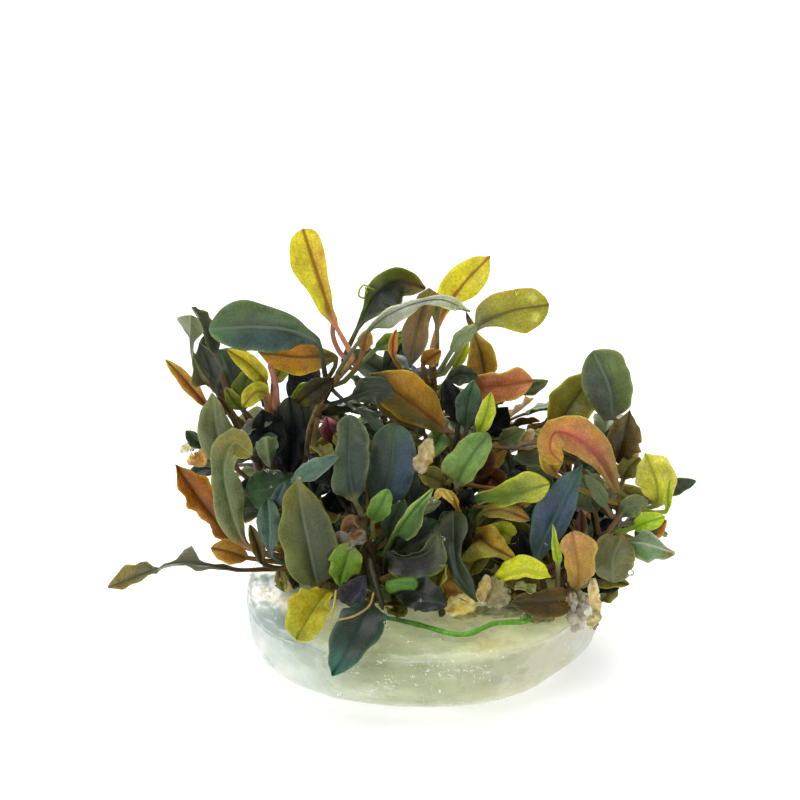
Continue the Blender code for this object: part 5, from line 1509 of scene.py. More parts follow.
# Each skin's roughness, how much light the leaf lets through, and its gloss
FINISHES = {
    "leaf_dark": (0.42, 0.10, 0.36),
    "leaf_blue": (0.45, 0.10, 0.34),
    "leaf_green": (0.40, 0.35, 0.36),
    "leaf_grey": (0.50, 0.20, 0.32),
    "leaf_olive": (0.45, 0.35, 0.30),
    "leaf_lime": (0.38, 0.55, 0.34),
    "leaf_yellow": (0.42, 0.65, 0.30),
    "leaf_amber": (0.48, 0.55, 0.26),
    "leaf_black": (0.50, 0.0, 0.16),
}

# Colours and leaves that take the black skin, and the other colours' skins
DULL = ("black", "leaf_black_upright")
SLOTS = {
    "dark": "leaf_dark",
    "blue": "leaf_blue",
    "green": "leaf_green",
    "olive": "leaf_olive",
    "grey": "leaf_grey",
    "sage": "leaf_grey",
    "lime": "leaf_lime",
    "yellow": "leaf_yellow",
    "amber": "leaf_amber",
    "orange": "leaf_amber",
    "pink": "leaf_amber",
    "brown": "leaf_olive",
    "black": "leaf_dark",
    "red": "leaf_olive",
    "purple": "leaf_olive",
    "gold": "leaf_yellow",
}


def look_of(leaf):
    """The leaf's own look, or that of its colour."""
    return Look(*LOOKS.get(leaf.name, LOOKS[leaf.colour]).split())


def skin_of(leaf, skins):
    """The material of a leaf's skin."""
    return skins["leaf_black" if leaf.colour in DULL or leaf.name in DULL else SLOTS[leaf.colour]]


def colour(text):
    """A colour written as on screen, such as #5a7a4a, as the linear numbers that shaders take."""
    parts = [int(text[i : i + 2], 16) / 255.0 for i in (1, 3, 5)]
    return Vector([part / 12.92 if part <= 0.04045 else ((part + 0.055) / 1.055) ** 2.4 for part in parts])


def smooth(low, high, value):
    """From 0 to 1 as value goes from low to high, with soft ends."""
    t = min(max((value - low) / (high - low), 0.0), 1.0)
    return t * t * (3.0 - 2.0 * t)


def leaf_tint(look, t, side, seed, spots=()):
    """The blade's colour at t along it and side across it, with its pale spots."""
    base, middle, tip = colour(look.base), colour(look.middle), colour(look.tip)
    turn = t + 0.12 * noise.noise(Vector((t * 3.0, side * 1.5, seed)))
    tint = base.lerp(middle, smooth(0.0, 0.45, turn)).lerp(tip, smooth(0.6, 1.0, turn))
    # A half's own colour; on leaf_dark_top_left it paints the sheen and shade of a folded half
    half = look.left if side < 0.0 else look.right
    if half:
        tint = tint.lerp(colour(half), 0.75 * smooth(0.0, 0.5, abs(side)) * (1.0 - smooth(0.7, 1.0, t)))
    blotch = noise.noise(Vector((t * 5.0 + 9.0, side * 2.0, seed)))
    tint = tint * (1.0 + 0.22 * blotch)
    for spot_t, spot_side, size, spot in spots:
        far = ((t - spot_t) / size) ** 2 + ((side - spot_side) / (size * 4.0)) ** 2
        tint = tint.lerp(colour(spot), 0.85 * math.exp(-far * far))
    # The edge colour is the margin's own colour, and on leaf_arching a painted highlight
    return tint.lerp(colour(look.edge), 0.75 * smooth(0.8, 1.0, abs(side)))


class Skin:
    """A mesh in the making: points, faces, and each point's colours and its place on its leaf."""

    def __init__(self):
        self.points = []
        self.faces = []
        self.tints = []
        self.rib_tints = []
        self.sides = []
        self.alongs = []
        self.materials = []
        self.face_materials = []

    # On the gel, side holds the strength of its painted glow
    def add_point(self, point, tint, rib_tint=None, side=9.0, along=0.0):
        """Adds a point; side is far from the midrib where there is none."""
        self.points.append(point * MM)
        self.tints.append(tint)
        self.rib_tints.append(tint if rib_tint is None else rib_tint)
        self.sides.append(side)
        self.alongs.append(along)

    def use(self, material):
        """The number of a material among those of the mesh."""
        if material not in self.materials:
            self.materials.append(material)
        return self.materials.index(material)

    def add_rings(self, first, rings, size, material):
        """Faces between rings of points that stand one after another from first on, and over both ends."""
        number = self.use(material)
        for ring in range(rings - 1):
            low = first + ring * size
            for i in range(size):
                j = (i + 1) % size
                self.faces.append((low + i, low + j, low + size + j, low + size + i))
        last = first + (rings - 1) * size
        self.faces.append(tuple(range(first + size - 1, first - 1, -1)))
        self.faces.append(tuple(range(last, last + size)))
        self.face_materials += [number] * ((rings - 1) * size + 2)

    def make(self, name):
        """The mesh as an object in the scene, shaded smooth."""
        mesh = bpy.data.meshes.new(name)
        mesh.from_pydata(self.points, [], self.faces)
        for attribute, values in (("tint", self.tints), ("rib_tint", self.rib_tints)):
            layer = mesh.attributes.new(attribute, "FLOAT_COLOR", "POINT")
            layer.data.foreach_set("color", [part for value in values for part in (*value, 1.0)])
        for attribute, values in (("side", self.sides), ("along", self.alongs)):
            layer = mesh.attributes.new(attribute, "FLOAT", "POINT")
            layer.data.foreach_set("value", values)
        for material in self.materials:
            mesh.materials.append(material)
        mesh.polygons.foreach_set("material_index", self.face_materials)
        mesh.shade_smooth()
        mesh.validate()
        made = bpy.data.objects.new(name, mesh)
        bpy.context.scene.collection.objects.link(made)
        return made


def leaf_shares(first, rows):
    """Where the rows of a fine leaf stand, as shares of its length: closer at the blade's base and tip."""
    stalk_rows, blade_rows = rows
    shares = [first * row / stalk_rows for row in range(stalk_rows)]
    for row in range(blade_rows + 1):
        even = row / blade_rows
        t = 0.45 * even + 0.55 * (1.0 - math.cos(math.pi * even)) / 2
        shares.append(first + (1.0 - first) * t)
    return shares


def half_widths(leaf, t, centre, across, seed):
    """The half widths of a fine blade's two sides at t, by which side it is: -1 or 1."""
    ray = (centre - EYE).normalized()
    seen_share = (across - ray * across.dot(ray)).length
    least = BASE_HALF * (1.0 - t) + TIP_HALF
    return {end: max(outline_half_width(leaf, t, end, seen_share, seed), least) for end in (-1, 1)}


def add_leaf(skin, leaf, way, material, rows, clear):
    """A fine leaf: a round stalk that widens into a thin, wavy blade with a midrib."""
    look = look_of(leaf)
    if leaf.name in OWN_WAYS:
        leaf = replace(leaf, blade=front(*OWN_WAYS[leaf.name]))
    line, first = leaf_line(leaf, way, clear, FINE_LEAF_STEPS)
    length = sum(stretches(line))
    seed = (sum(map(ord, leaf.name)) % 97) * 1.7
    stalk, rib = colour(look.stalk), colour(look.rib)
    shares = leaf_shares(first, rows)
    start = len(skin.points)
    count = len(SIDES)
    for share in shares:
        centre, across, facing, t, half = section(leaf, line, first, share)
        gone = share * length
        blade = smooth(first - 0.04, first + 0.14 * (1.0 - first), share)
        halves = {-1: half, 1: half}
        if share >= first:
            halves = half_widths(leaf, t, centre, across, seed)
        flare = 1.0 + STALK_FLARE * (1.0 - smooth(0.0, 0.85 * first * length, gone))
        ripple = min(leaf.width / 7.5, 1.0) * blade
        bend = BEND * ripple * noise.noise(Vector((t * 2.2, seed, 4.0)))
        tops = []
        unders = []
        for side in SIDES:
            half = halves[1 if side > 0 else -1]
            if share < first:
                fold, lift = 0.0, 0.0
            else:
                fold, lift = fold_and_lift(leaf, t, half, side)
            hand = 2.5 if side > 0 else 7.5
            wave = SIDE_WAVE * ripple * abs(side) ** 2.5 * noise.noise(Vector((t * 7.5, hand, seed)))
            dent = DENT * ripple * noise.noise(Vector((t * 4.5, side * 1.8, seed + 3.0)))
            groove = -GROOVE * blade * math.exp(-((side * half / GROOVE_HALF) ** 2))
            arch = ARCH * half * blade * math.sin(math.pi * abs(side)) * (1.0 - 0.5 * t)
            out = lift + bend + wave + dent + groove + arch
            width = half if share >= first else half * flare * FINE_STALK
            middle = centre + across * (side * width * math.cos(fold)) + facing * out
            lean = math.copysign(1.0, side) * math.sin(fold) if side else 0.0
            normal = (facing - across * lean).normalized()
            round_off = math.sqrt(max(1.0 - abs(side) ** 8, 0.0))
            rib_here = math.exp(-((side * half / RIB_HALF) ** 2)) * (1.0 - 0.75 * t)
            stalk_thick = STALK_HALF * flare * math.sqrt(max(1.0 - side * side, 0.0))
            top = (EDGE_HALF + RIB_TOP * rib_here) * round_off
            under = (EDGE_HALF + RIB_UNDER * rib_here) * round_off
            tops.append((middle + normal * (stalk_thick + (top - stalk_thick) * blade), side))
            unders.append((middle - normal * (stalk_thick + (under - stalk_thick) * blade), side))
        for place, side in tops + unders[-2:0:-1]:
            tint = stalk.lerp(leaf_tint(look, t, side, seed, SPOTS.get(leaf.name, ())), blade)
            skin.add_point(place, tint, stalk.lerp(rib, blade), side * half, gone)
    skin.add_rings(start, len(shares), 2 * count - 2, material)


def add_stem(skin, name, way, material, low, high):
    """A stem with a ring at each old leaf scar, brown below and greener toward its tip."""
    length = sum(stretches(way))
    rings = max(int(length / STEM_RING_SPACING), 8)
    seed = (sum(map(ord, name)) % 89) * 1.3
    dark, light = colour(low), colour(high)
    facing = Vector((0.2, -1.0, 0.3))
    start = len(skin.points)
    for ring in range(rings + 1):
        share = ring / rings
        centre, along = point_along(way, share)
        facing = square_to(along, facing)
        across = along.cross(facing)
        gone = share * length
        uneven = 0.35 * noise.noise(Vector((gone * 0.4, seed, 0.0)))
        scar = abs((gone / SCAR_SPACING + uneven) % 1.0 - 0.5)
        ridge = math.exp(-((scar / SCAR_WIDTH) ** 2))
        radius = stem_radius(share) * (0.97 + SCAR_RIDGE * ridge)
        if ring in (0, rings):
            radius *= 0.55
        for step in range(STEM_SIDES):
            turn = math.tau * step / STEM_SIDES
            out = across * math.cos(turn) + facing * math.sin(turn)
            rough = 1.0 + 0.09 * noise.noise((centre + out) * 0.9)
            tint = dark.lerp(light, share * 0.85 + 0.15 * noise.noise(centre * 0.7))
            tint = tint * (1.0 - 0.35 * ridge)
            skin.add_point(centre + out * radius * rough, tint)
    skin.add_rings(start, rings + 1, STEM_SIDES, material)


def node(tree, kind, inputs=None, **settings):
    """Adds a shader node. inputs gives a socket, by name or number, a value or another node's output."""
    made = tree.nodes.new(kind)
    for name, value in settings.items():
        setattr(made, name, value)
    for key, value in (inputs or {}).items():
        if isinstance(value, bpy.types.NodeSocket):
            tree.links.new(value, made.inputs[key])
        else:
            made.inputs[key].default_value = value
    return made


def maths(tree, operation, first, second=0.0):
    """What an operation makes of one or two values."""
    return node(tree, "ShaderNodeMath", {0: first, 1: second}, operation=operation).outputs[0]


def spread(tree, value, low, high, to_low, to_high):
    """value from low to high becomes to_low to to_high, with soft ends."""
    sockets = {"Value": value, "From Min": low, "From Max": high, "To Min": to_low, "To Max": to_high}
    return node(tree, "ShaderNodeMapRange", sockets, interpolation_type="SMOOTHSTEP").outputs[0]


def mixed(tree, share, first, second, blend="MIX"):
    """Two colours mixed by share."""
    sockets = {0: share, 6: first, 7: second}
    return node(tree, "ShaderNodeMix", sockets, data_type="RGBA", blend_type=blend).outputs[2]


def noise_at(tree, where, scale, detail=2.0, roughness=0.5):
    """A cloudy pattern, from 0 to 1."""
    sockets = {"Vector": where, "Scale": scale, "Detail": detail, "Roughness": roughness}
    return node(tree, "ShaderNodeTexNoise", sockets).outputs[0]


def shaded(tree, tint, pattern, low, high, dark, light):
    """The tint made darker and lighter by a pattern, from dark at its low to light at its high."""
    return mixed(tree, 1.0, tint, spread(tree, pattern, low, high, dark, light), "MULTIPLY")


def summed(tree, *parts):
    """The sum of some values, each times its weight."""
    total = None
    for value, weight in parts:
        part = maths(tree, "MULTIPLY", value, weight)
        total = part if total is None else maths(tree, "ADD", total, part)
    return total


def place_on(tree):
    """Where a point is on its piece."""
    return node(tree, "ShaderNodeTexCoord").outputs["Object"]


def stored(tree, name, output="Fac"):
    """The value that the mesh keeps at each point under this name."""
    return node(tree, "ShaderNodeAttribute", attribute_name=name).outputs[output]


def principled(name, **sockets):
    """A new material, its node tree and its shader, with the shader's plain values set."""
    material = bpy.data.materials.new(name)
    material.use_nodes = True
    tree = material.node_tree
    shader = tree.nodes["Principled BSDF"]
    for socket, value in sockets.items():
        shader.inputs[socket.replace("_", " ")].default_value = value
    return material, tree, shader


def bumped(tree, shader, height, distance, strength):
    """Gives the shader a small relief that follows height."""
    bump = node(tree, "ShaderNodeBump", {"Height": height, "Distance": distance, "Strength": strength})
    tree.links.new(bump.outputs[0], shader.inputs["Normal"])


def leaf_material(name, roughness, glow, gloss):
    """Waxy leaf: its own tint with a midrib, side veins, streaks along it, fine dots and soft mottling."""
    material, tree, shader = principled(
        name,
        Subsurface_Weight=glow,
        Subsurface_Radius=(1.0, 0.75, 0.25),
        Subsurface_Scale=0.0009,
        Specular_IOR_Level=gloss,
        Coat_Weight=0.4 * gloss,
        Coat_Roughness=0.2,
    )
    where = place_on(tree)
    tint = stored(tree, "tint", "Color")
    rib_tint = stored(tree, "rib_tint", "Color")
    side = stored(tree, "side")
    along = stored(tree, "along")
    off = maths(tree, "ABSOLUTE", side)

    mottle = noise_at(tree, where, 420.0, 4.0, 0.6)
    tint = shaded(tree, tint, mottle, 0.25, 0.75, 0.80, 1.20)
    grain = noise_at(tree, where, 2600.0, 2.0, 0.7)
    tint = shaded(tree, tint, grain, 0.3, 0.7, 0.80, 1.20)

    far = maths(tree, "MULTIPLY", node(tree, "ShaderNodeSeparateXYZ", {0: where}).outputs[0], 60.0)
    lengthwise = {0: side, 1: maths(tree, "MULTIPLY", along, 0.13), 2: far}
    streak = noise_at(tree, node(tree, "ShaderNodeCombineXYZ", lengthwise).outputs[0], 2.6, 3.0, 0.6)
    tint = shaded(tree, tint, streak, 0.3, 0.7, 0.93, 1.07)

    drift = noise_at(tree, where, 300.0)
    run = maths(tree, "ADD", maths(tree, "MULTIPLY_ADD", off, -0.95), maths(tree, "MULTIPLY", drift, 1.2))
    phase = maths(tree, "FRACT", maths(tree, "DIVIDE", maths(tree, "ADD", along, run), 1.35))
    vein = spread(tree, maths(tree, "ABSOLUTE", maths(tree, "SUBTRACT", phase, 0.5)), 0.0, 0.17, 1.0, 0.0)
    vein = maths(tree, "MULTIPLY", vein, spread(tree, off, 0.3, 1.2, 0.0, 1.0))
    tint = mixed(tree, maths(tree, "MULTIPLY", vein, 0.07), tint, rib_tint)

    dots = node(tree, "ShaderNodeTexVoronoi", {"Vector": where, "Scale": 1900.0})
    dot = spread(tree, dots.outputs["Distance"], 0.12, 0.34, 1.0, 0.0)
    pale = mixed(tree, 0.5, tint, (0.55, 0.58, 0.42, 1.0))
    tint = mixed(tree, maths(tree, "MULTIPLY", dot, 0.10), tint, pale)

    rib = spread(tree, off, 0.12, 0.42, 1.0, 0.0)
    tint = mixed(tree, maths(tree, "MULTIPLY", rib, 0.8), tint, rib_tint)
    tree.links.new(tint, shader.inputs["Base Color"])
    dull = spread(tree, mottle, 0.3, 0.7, roughness - 0.08, roughness + 0.12)
    tree.links.new(dull, shader.inputs["Roughness"])
    height = summed(tree, (dot, 0.15), (vein, -0.2), (mottle, 1.6), (grain, 0.5), (streak, 1.1))
    bumped(tree, shader, height, 0.00010, 0.9)
    return material


def mottled_material(name, pattern, shades, dullness, relief, **sockets):
    """A skin whose own tint, dullness and relief all follow one mottled pattern."""
    material, tree, shader = principled(name, **sockets)
    mottle = noise_at(tree, place_on(tree), *pattern)
    tint = shaded(tree, stored(tree, "tint", "Color"), mottle, 0.3, 0.7, *shades)
    tree.links.new(tint, shader.inputs["Base Color"])
    tree.links.new(spread(tree, mottle, 0.3, 0.7, *dullness), shader.inputs["Roughness"])
    bumped(tree, shader, mottle, *relief)
    return material


def stem_material():
    """Rhizome skin: mottled, with a dull wet gloss."""
    return mottled_material(
        "stem_skin", (900.0, 4.0, 0.65), (0.62, 1.35), (0.42, 0.62), (0.00012, 0.8),
        Specular_IOR_Level=0.45, Coat_Weight=0.15, Coat_Roughness=0.3,
    )


def root_material():
    """Fresh root: its own tint with paler cells."""
    return mottled_material(
        "root_skin", (1400.0, 3.0, 0.6), (0.75, 1.35), (0.3, 0.5), (0.00008, 0.6),
        Subsurface_Weight=0.4, Subsurface_Radius=(1.0, 1.0, 0.4), Subsurface_Scale=0.0008,
    )


def gel_material():
    """Wet agar gel: its own tint with soft clouds and fine crinkles, and a painted glow as strong as side
    says.
    """
    material, tree, shader = principled(
        "gel",
        Transmission_Weight=0.15,
        IOR=1.34,
        Subsurface_Weight=1.0,
        Subsurface_Radius=(1.0, 1.0, 0.8),
        Subsurface_Scale=0.02,
        Specular_IOR_Level=0.5,
        Coat_Weight=0.15,
        Coat_Roughness=0.25,
    )
    where = place_on(tree)
    bands = node(tree, "ShaderNodeMapping", {"Vector": where, "Scale": (0.7, 0.7, 1.8)}).outputs[0]
    cloud = noise_at(tree, bands, 90.0, 4.0, 0.6)
    fine = noise_at(tree, where, 420.0, 4.0, 0.65)
    tint = shaded(tree, stored(tree, "tint", "Color"), cloud, 0.3, 0.7, 0.90, 1.12)
    tint = shaded(tree, tint, fine, 0.3, 0.7, 0.93, 1.06)
    bent = node(tree, "ShaderNodeTexNoise", {"Vector": where, "Scale": 260.0, "Detail": 3.0}).outputs[1]
    little = {0: bent, 1: (0.008, 0.008, 0.008)}
    moved = node(tree, "ShaderNodeVectorMath", little, operation="MULTIPLY").outputs[0]
    moved = node(tree, "ShaderNodeVectorMath", {0: where, 1: moved}, operation="ADD").outputs[0]
    cells = node(tree, "ShaderNodeTexVoronoi", {"Vector": moved, "Scale": 300.0}, feature="DISTANCE_TO_EDGE")
    crinkle = spread(tree, cells.outputs["Distance"], 0.0, 0.06, 1.0, 0.0)
    parts = spread(tree, noise_at(tree, where, 70.0, 2.0), 0.46, 0.62, 0.0, 1.0)
    crinkle = maths(tree, "MULTIPLY", crinkle, parts)
    tint = mixed(tree, maths(tree, "MULTIPLY", crinkle, 0.18), tint, (0.92, 0.93, 0.86, 1.0))
    tree.links.new(tint, shader.inputs["Base Color"])
    # Painted glow: the gel emits its own tint, as strongly as the side slot says
    tree.links.new(tint, shader.inputs["Emission Color"])
    tree.links.new(stored(tree, "side"), shader.inputs["Emission Strength"])
    tree.links.new(spread(tree, cloud, 0.3, 0.7, 0.22, 0.40), shader.inputs["Roughness"])
    bumped(tree, shader, summed(tree, (cloud, 1.0), (fine, 0.3), (crinkle, 0.22)), 0.0006, 0.4)
    absorption = node(tree, "ShaderNodeVolumeAbsorption", {"Color": (0.80, 0.86, 0.72, 1.0), "Density": 6.0})
    tree.links.new(absorption.outputs[0], tree.nodes["Material Output"].inputs["Volume"])
    return material


def glossy_material(name, scale, dullest, **sockets):
    """A plain shiny material whose gloss varies a little."""
    material, tree, shader = principled(name, **sockets)
    dull = spread(tree, noise_at(tree, place_on(tree), scale), 0.3, 0.7, *dullest)
    tree.links.new(dull, shader.inputs["Roughness"])
    return material


def painted_glint_material():
    """Painted glints: white, faintly glowing crinkles and chips on the gel's skin, in place of the light that
    they catch.
    """
    return glossy_material(
        "glint", 900.0, (0.08, 0.3), Base_Color=(0.97, 0.98, 0.94, 1.0), Specular_IOR_Level=0.8,
        Emission_Color=(1.0, 1.0, 0.96, 1.0), Emission_Strength=0.1,
    )


def lump_material():
    """Loose lumps of clear gel and clotted tissue: half see-through, wet."""
    return mottled_material(
        "lump", (700.0, 4.0, 0.6), (0.75, 1.15), (0.05, 0.3), (0.0004, 0.6),
        Transmission_Weight=0.3, IOR=1.34, Subsurface_Weight=0.8, Subsurface_Radius=(1.0, 0.9, 0.6),
        Subsurface_Scale=0.003, Coat_Weight=0.6, Coat_Roughness=0.05,
    )


def clear_material():
    """Water droplets."""
    return glossy_material(
        "clear", 700.0, (0.0, 0.08), Base_Color=(0.95, 0.98, 0.95, 1.0), Transmission_Weight=1.0, IOR=1.33,
        Coat_Weight=0.6, Coat_Roughness=0.0,
    )


def flake_material():
    """Dead leaf and old tissue: papery, half see-through, blotched."""
    return mottled_material(
        "dead_leaf", (800.0, 4.0, 0.65), (0.6, 1.3), (0.35, 0.6), (0.00012, 0.8),
        Subsurface_Weight=0.6, Subsurface_Radius=(1.0, 0.7, 0.3), Subsurface_Scale=0.0008,
        Specular_IOR_Level=0.3,
    )


def gel_surface(radius, height, around):
    """A point of the gel's skin: out of round, lumpy, chipped at its rim and wrinkled at its side."""
    rim = radius / GEL_RADIUS
    up = height / GEL_HEIGHT
    uneven = 0.008 * math.sin(2 * around + 0.6) + 0.006 * math.sin(5 * around)
    uneven += 0.004 * math.sin(9 * around + 1.0)
    chip = 0.075 * math.exp(-(((around - CHIP_AROUND) / 0.3) ** 2)) * (1.0 - 0.8 * up)
    factor = 1.0 + (uneven - chip) * rim * rim
    x, y = radius * factor * math.cos(around), radius * factor * math.sin(around)
    if y < 0.0:
        y *= 1.0 - FRONT_BEVEL * smooth(0.7, 1.0, 1.0 - up)
    place = Vector((x, y, height))
    outer = smooth(GEL_RADIUS - 8.0, GEL_RADIUS - 2.0, radius)
    lumps = noise.noise(place * 0.11) * 0.9 + noise.noise(place * 0.36) * 0.22
    lumps += noise.noise(place * 1.1) * 0.05
    creased = noise.noise(Vector((x * 0.12, y * 0.12, height * 0.4)) + Vector((5, 2, 9)))
    crease = max(0.0, 0.07 - abs(creased)) * 3.0
    inward = Vector((x, y, 0.0)).normalized()
    place -= inward * ((abs(lumps) * 0.9 + crease) * outer * smooth(0.02, 0.2, up))
    place.z = max(place.z, GEL_LIFT)
    if up > 0.95:
        torn = noise.noise(Vector((x, y, 3.0)) * 0.22) * 0.7 + noise.noise(Vector((x, y, 8.0)) * 0.8) * 0.22
        place.z += torn - 0.3
    left = math.exp(-((((around % math.tau) - BROKEN_AROUND) / 0.42) ** 2))
    broken = left * smooth(GEL_RADIUS - 5.5, GEL_RADIUS - 4.5, radius) * smooth(0.78, 0.92, up)
    place.z -= broken * (1.5 + 0.5 * noise.noise(Vector((x * 0.6, y * 0.6, 2.0))))
    return place


def gel_tint(place):
    """The gel's colour at a place of its skin: bluish at the left, greener and warmer to the right."""
    x, y, z = place
    tint = colour("#b3c1b8").lerp(colour("#b2ba98"), smooth(-26.0, -8.0, x))
    tint = tint.lerp(colour("#c2c2a2"), smooth(-2.0, 20.0, x))
    tint = tint.lerp(colour("#e2e6d6"), 1.0 - smooth(0.0, 0.34, z / GEL_HEIGHT))
    tint = tint.lerp(colour("#c8ca9e"), smooth(0.93, 1.0, z / GEL_HEIGHT) * smooth(-30.0, -20.0, x))
    if y > 4.0:
        return tint
    across, up = shown(place)
    for middle, height, wide, high, patch, share in GEL_PATCHES:
        far = ((across - middle) / wide) ** 2 + ((up - height) / high) ** 2
        tint = tint.lerp(colour(patch), share * math.exp(-far))
    return tint


def add_gel(material):
    """The gel: an uneven disc, torn round the stems, chipped at its rim, with a flat underside."""
    top = GEL_RADIUS - GEL_SIDE[0][0]
    rings = [(top * number / GEL_TOP_RINGS, GEL_HEIGHT) for number in range(1, GEL_TOP_RINGS)]
    side = [Vector((GEL_RADIUS - inward, 0.0, height)) for inward, height in GEL_SIDE]
    way = smooth_way(side, GEL_SIDE_STEPS)
    rings += [(point.x, max(point.z, 0.0)) for point in way]
    rings += [(radius, 0.0) for radius in (GEL_RADIUS - 8.0, GEL_RADIUS * 0.5, 4.0)]
    skin = Skin()
    for radius, height in rings:
        for step in range(GEL_STEPS):
            around = math.tau * step / GEL_STEPS
            around -= math.tau if around > math.pi else 0.0
            place = gel_surface(radius, height, around)
            # Painted glow on the front of the gel's top, kept in the side slot
            painted_glow = smooth(0.86, 0.96, place.z / GEL_HEIGHT) * smooth(4.0, -14.0, place.y)
            tint = gel_tint(place)
            skin.add_point(place, tint, tint, GEL_PAINTED_GLOW * painted_glow)
    skin.add_rings(0, len(rings), GEL_STEPS, material)
    return skin.make("gel")


def add_blob(skin, middle, size, material, seed, rough, tint=Vector((1.0, 1.0, 1.0)), fineness=DROP_FINENESS):
    """A round drop, or with more roughness a chip, as wide, deep and high as size."""
    rings, sides = fineness
    start = len(skin.points)
    for ring in range(1, rings):
        rise = math.pi * ring / rings - math.pi / 2
        for step in range(sides):
            turn = math.tau * step / sides
            out = direction(turn, rise)
            bulge = 1.0 + rough * noise.noise(out * 1.8 + Vector((seed, 0.0, 0.0)))
            skin.add_point(middle + Vector([a * b / 2 * bulge for a, b in zip(out, size)]), tint)
    skin.add_rings(start, rings - 1, sides, material)


def add_flake(skin, way, width, facing, material, look, seed, fineness):
    """A crumpled scrap of dead leaf along a way, with a ragged edge and curled sides."""
    rows, columns = fineness
    sides = [2.0 * step / columns - 1.0 for step in range(columns + 1)]
    line = smooth_way(way, FLAKE_STEPS)
    start = len(skin.points)
    pale, dark = colour(look[0]), colour(look[1])
    for row in range(rows + 1):
        t = row / rows
        centre, along = point_along(line, t)
        out = square_to(along, facing)
        out = Matrix.Rotation(0.9 * noise.noise(Vector((t * 1.4, seed, 0.0))), 3, along) @ out
        across = along.cross(out)
        tops = []
        unders = []
        for side in sides:
            ragged = 1.0 + 0.55 * noise.noise(Vector((t * 5.0, math.copysign(3.0, side), seed)))
            half = 0.5 * width * ragged * max(math.sin(math.pi * (0.06 + 0.88 * t)), 0.0) ** 0.45
            crumple = 0.9 * noise.noise(Vector((t * 3.2, side * 1.6, seed + 4.0))) + 0.35 * side * side
            place = centre + across * (side * half) + out * (crumple * width * 0.28)
            thick = 0.07 * math.sqrt(max(1.0 - abs(side) ** 8, 0.0)) * math.sin(math.pi * (0.02 + 0.96 * t))
            tops.append(place + out * thick)
            unders.append(place - out * thick)
        for index, place in enumerate(tops + unders[-2:0:-1]):
            blotch = 0.5 + 0.9 * noise.noise(Vector((t * 4.0, index * 0.25, seed + 7.0)))
            skin.add_point(place, pale.lerp(dark, min(max(blotch, 0.0), 1.0)))
    skin.add_rings(start, rows + 1, 2 * len(sides) - 2, material)


def add_thread(skin, way, radius, material, tint):
    """A thin round thread along a way."""
    start = len(skin.points)
    sides = 12 if radius > 0.3 else 6
    facing = Vector((0.3, -0.8, 0.5))
    rings = len(way)
    for ring, point in enumerate(way):
        along = (way[min(ring + 1, rings - 1)] - way[max(ring - 1, 0)]).normalized()
        facing = square_to(along, facing)
        across = along.cross(facing)
        for step in range(sides):
            turn = math.tau * step / sides
            out = across * math.cos(turn) + facing * math.sin(turn)
            skin.add_point(point + out * radius * (0.4 if ring in (0, rings - 1) else 1.0), tint)
    skin.add_rings(start, rings, sides, material)


def add_litter(skin, room, material):
    """Small dead and dying scraps that lie on the gel between the stems."""
    rng = random.Random(LITTER_SEED)
    for _ in range(LITTER_COUNT):
        around, far = rng.uniform(0.0, math.tau), math.sqrt(rng.random())
        x = LITTER_MIDDLE.x + LITTER_REACH.x * far * math.cos(around)
        y = LITTER_MIDDLE.y + LITTER_REACH.y * far * math.sin(around)
        length, width = rng.uniform(*LITTER_LENGTH), rng.uniform(*LITTER_WIDTH)
        turn = rng.uniform(0.0, math.tau)
        half = Vector((math.cos(turn), math.sin(turn), 0.0)) * length / 2
        lift = rng.uniform(0.5, 3.4)
        look = rng.choice(LITTER_LOOKS)
        tilt = Vector((rng.uniform(-0.7, 0.7), rng.uniform(-1.0, 0.2), 1.0)).normalized()
        number = rng.uniform(0.0, 90.0)
        middle = Vector((x, y, GEL_HEIGHT + lift + 0.7))
        end = middle + half + Vector((0.0, 0.0, rng.uniform(-0.6, 2.2)))
        way = [middle - half, middle + Vector((0.0, 0.0, 0.6)), end]
        if any(room.near(point, LITTER_CLEAR) for point in way):
            continue
        add_flake(skin, way, width, tilt, material, look, number, LITTER_FINENESS)


def add_dead_bits(room, material):
    """Scraps of dead leaf and old tissue between the leaves."""
    skin = Skin()
    add_litter(skin, room, material)
    for number, (points, width, look) in enumerate(FLAKES):
        facing = (EYE - points[0]).normalized() + Vector((0.2 * (number % 3 - 1), 0.0, 0.4))
        facing = facing.normalized()
        add_flake(skin, points, width, facing, material, look, number * 3.7, FLAKE_FINENESS)
    return skin.make("dead_bits")


def add_droplets(material):
    """Water droplets on the leaves, a little flattened."""
    skin = Skin()
    for across, up, depth, size in DROPS:
        middle = seen(across, up, depth)
        add_blob(skin, middle, (size, size, size * 0.9), material, middle.x, 0.1)
    return skin.make("droplets")


def gel_tree(gel):
    """A search tree of the gel's skin, in millimetres."""
    points = [vertex.co / MM for vertex in gel.data.vertices]
    return BVHTree.FromPolygons(points, [tuple(face.vertices) for face in gel.data.polygons])


def on_gel(tree, across, up):
    """Where the gel's skin shows at this place from the front."""
    return tree.ray_cast(EYE, (seen(across, up, 0.0) - EYE).normalized())[0]


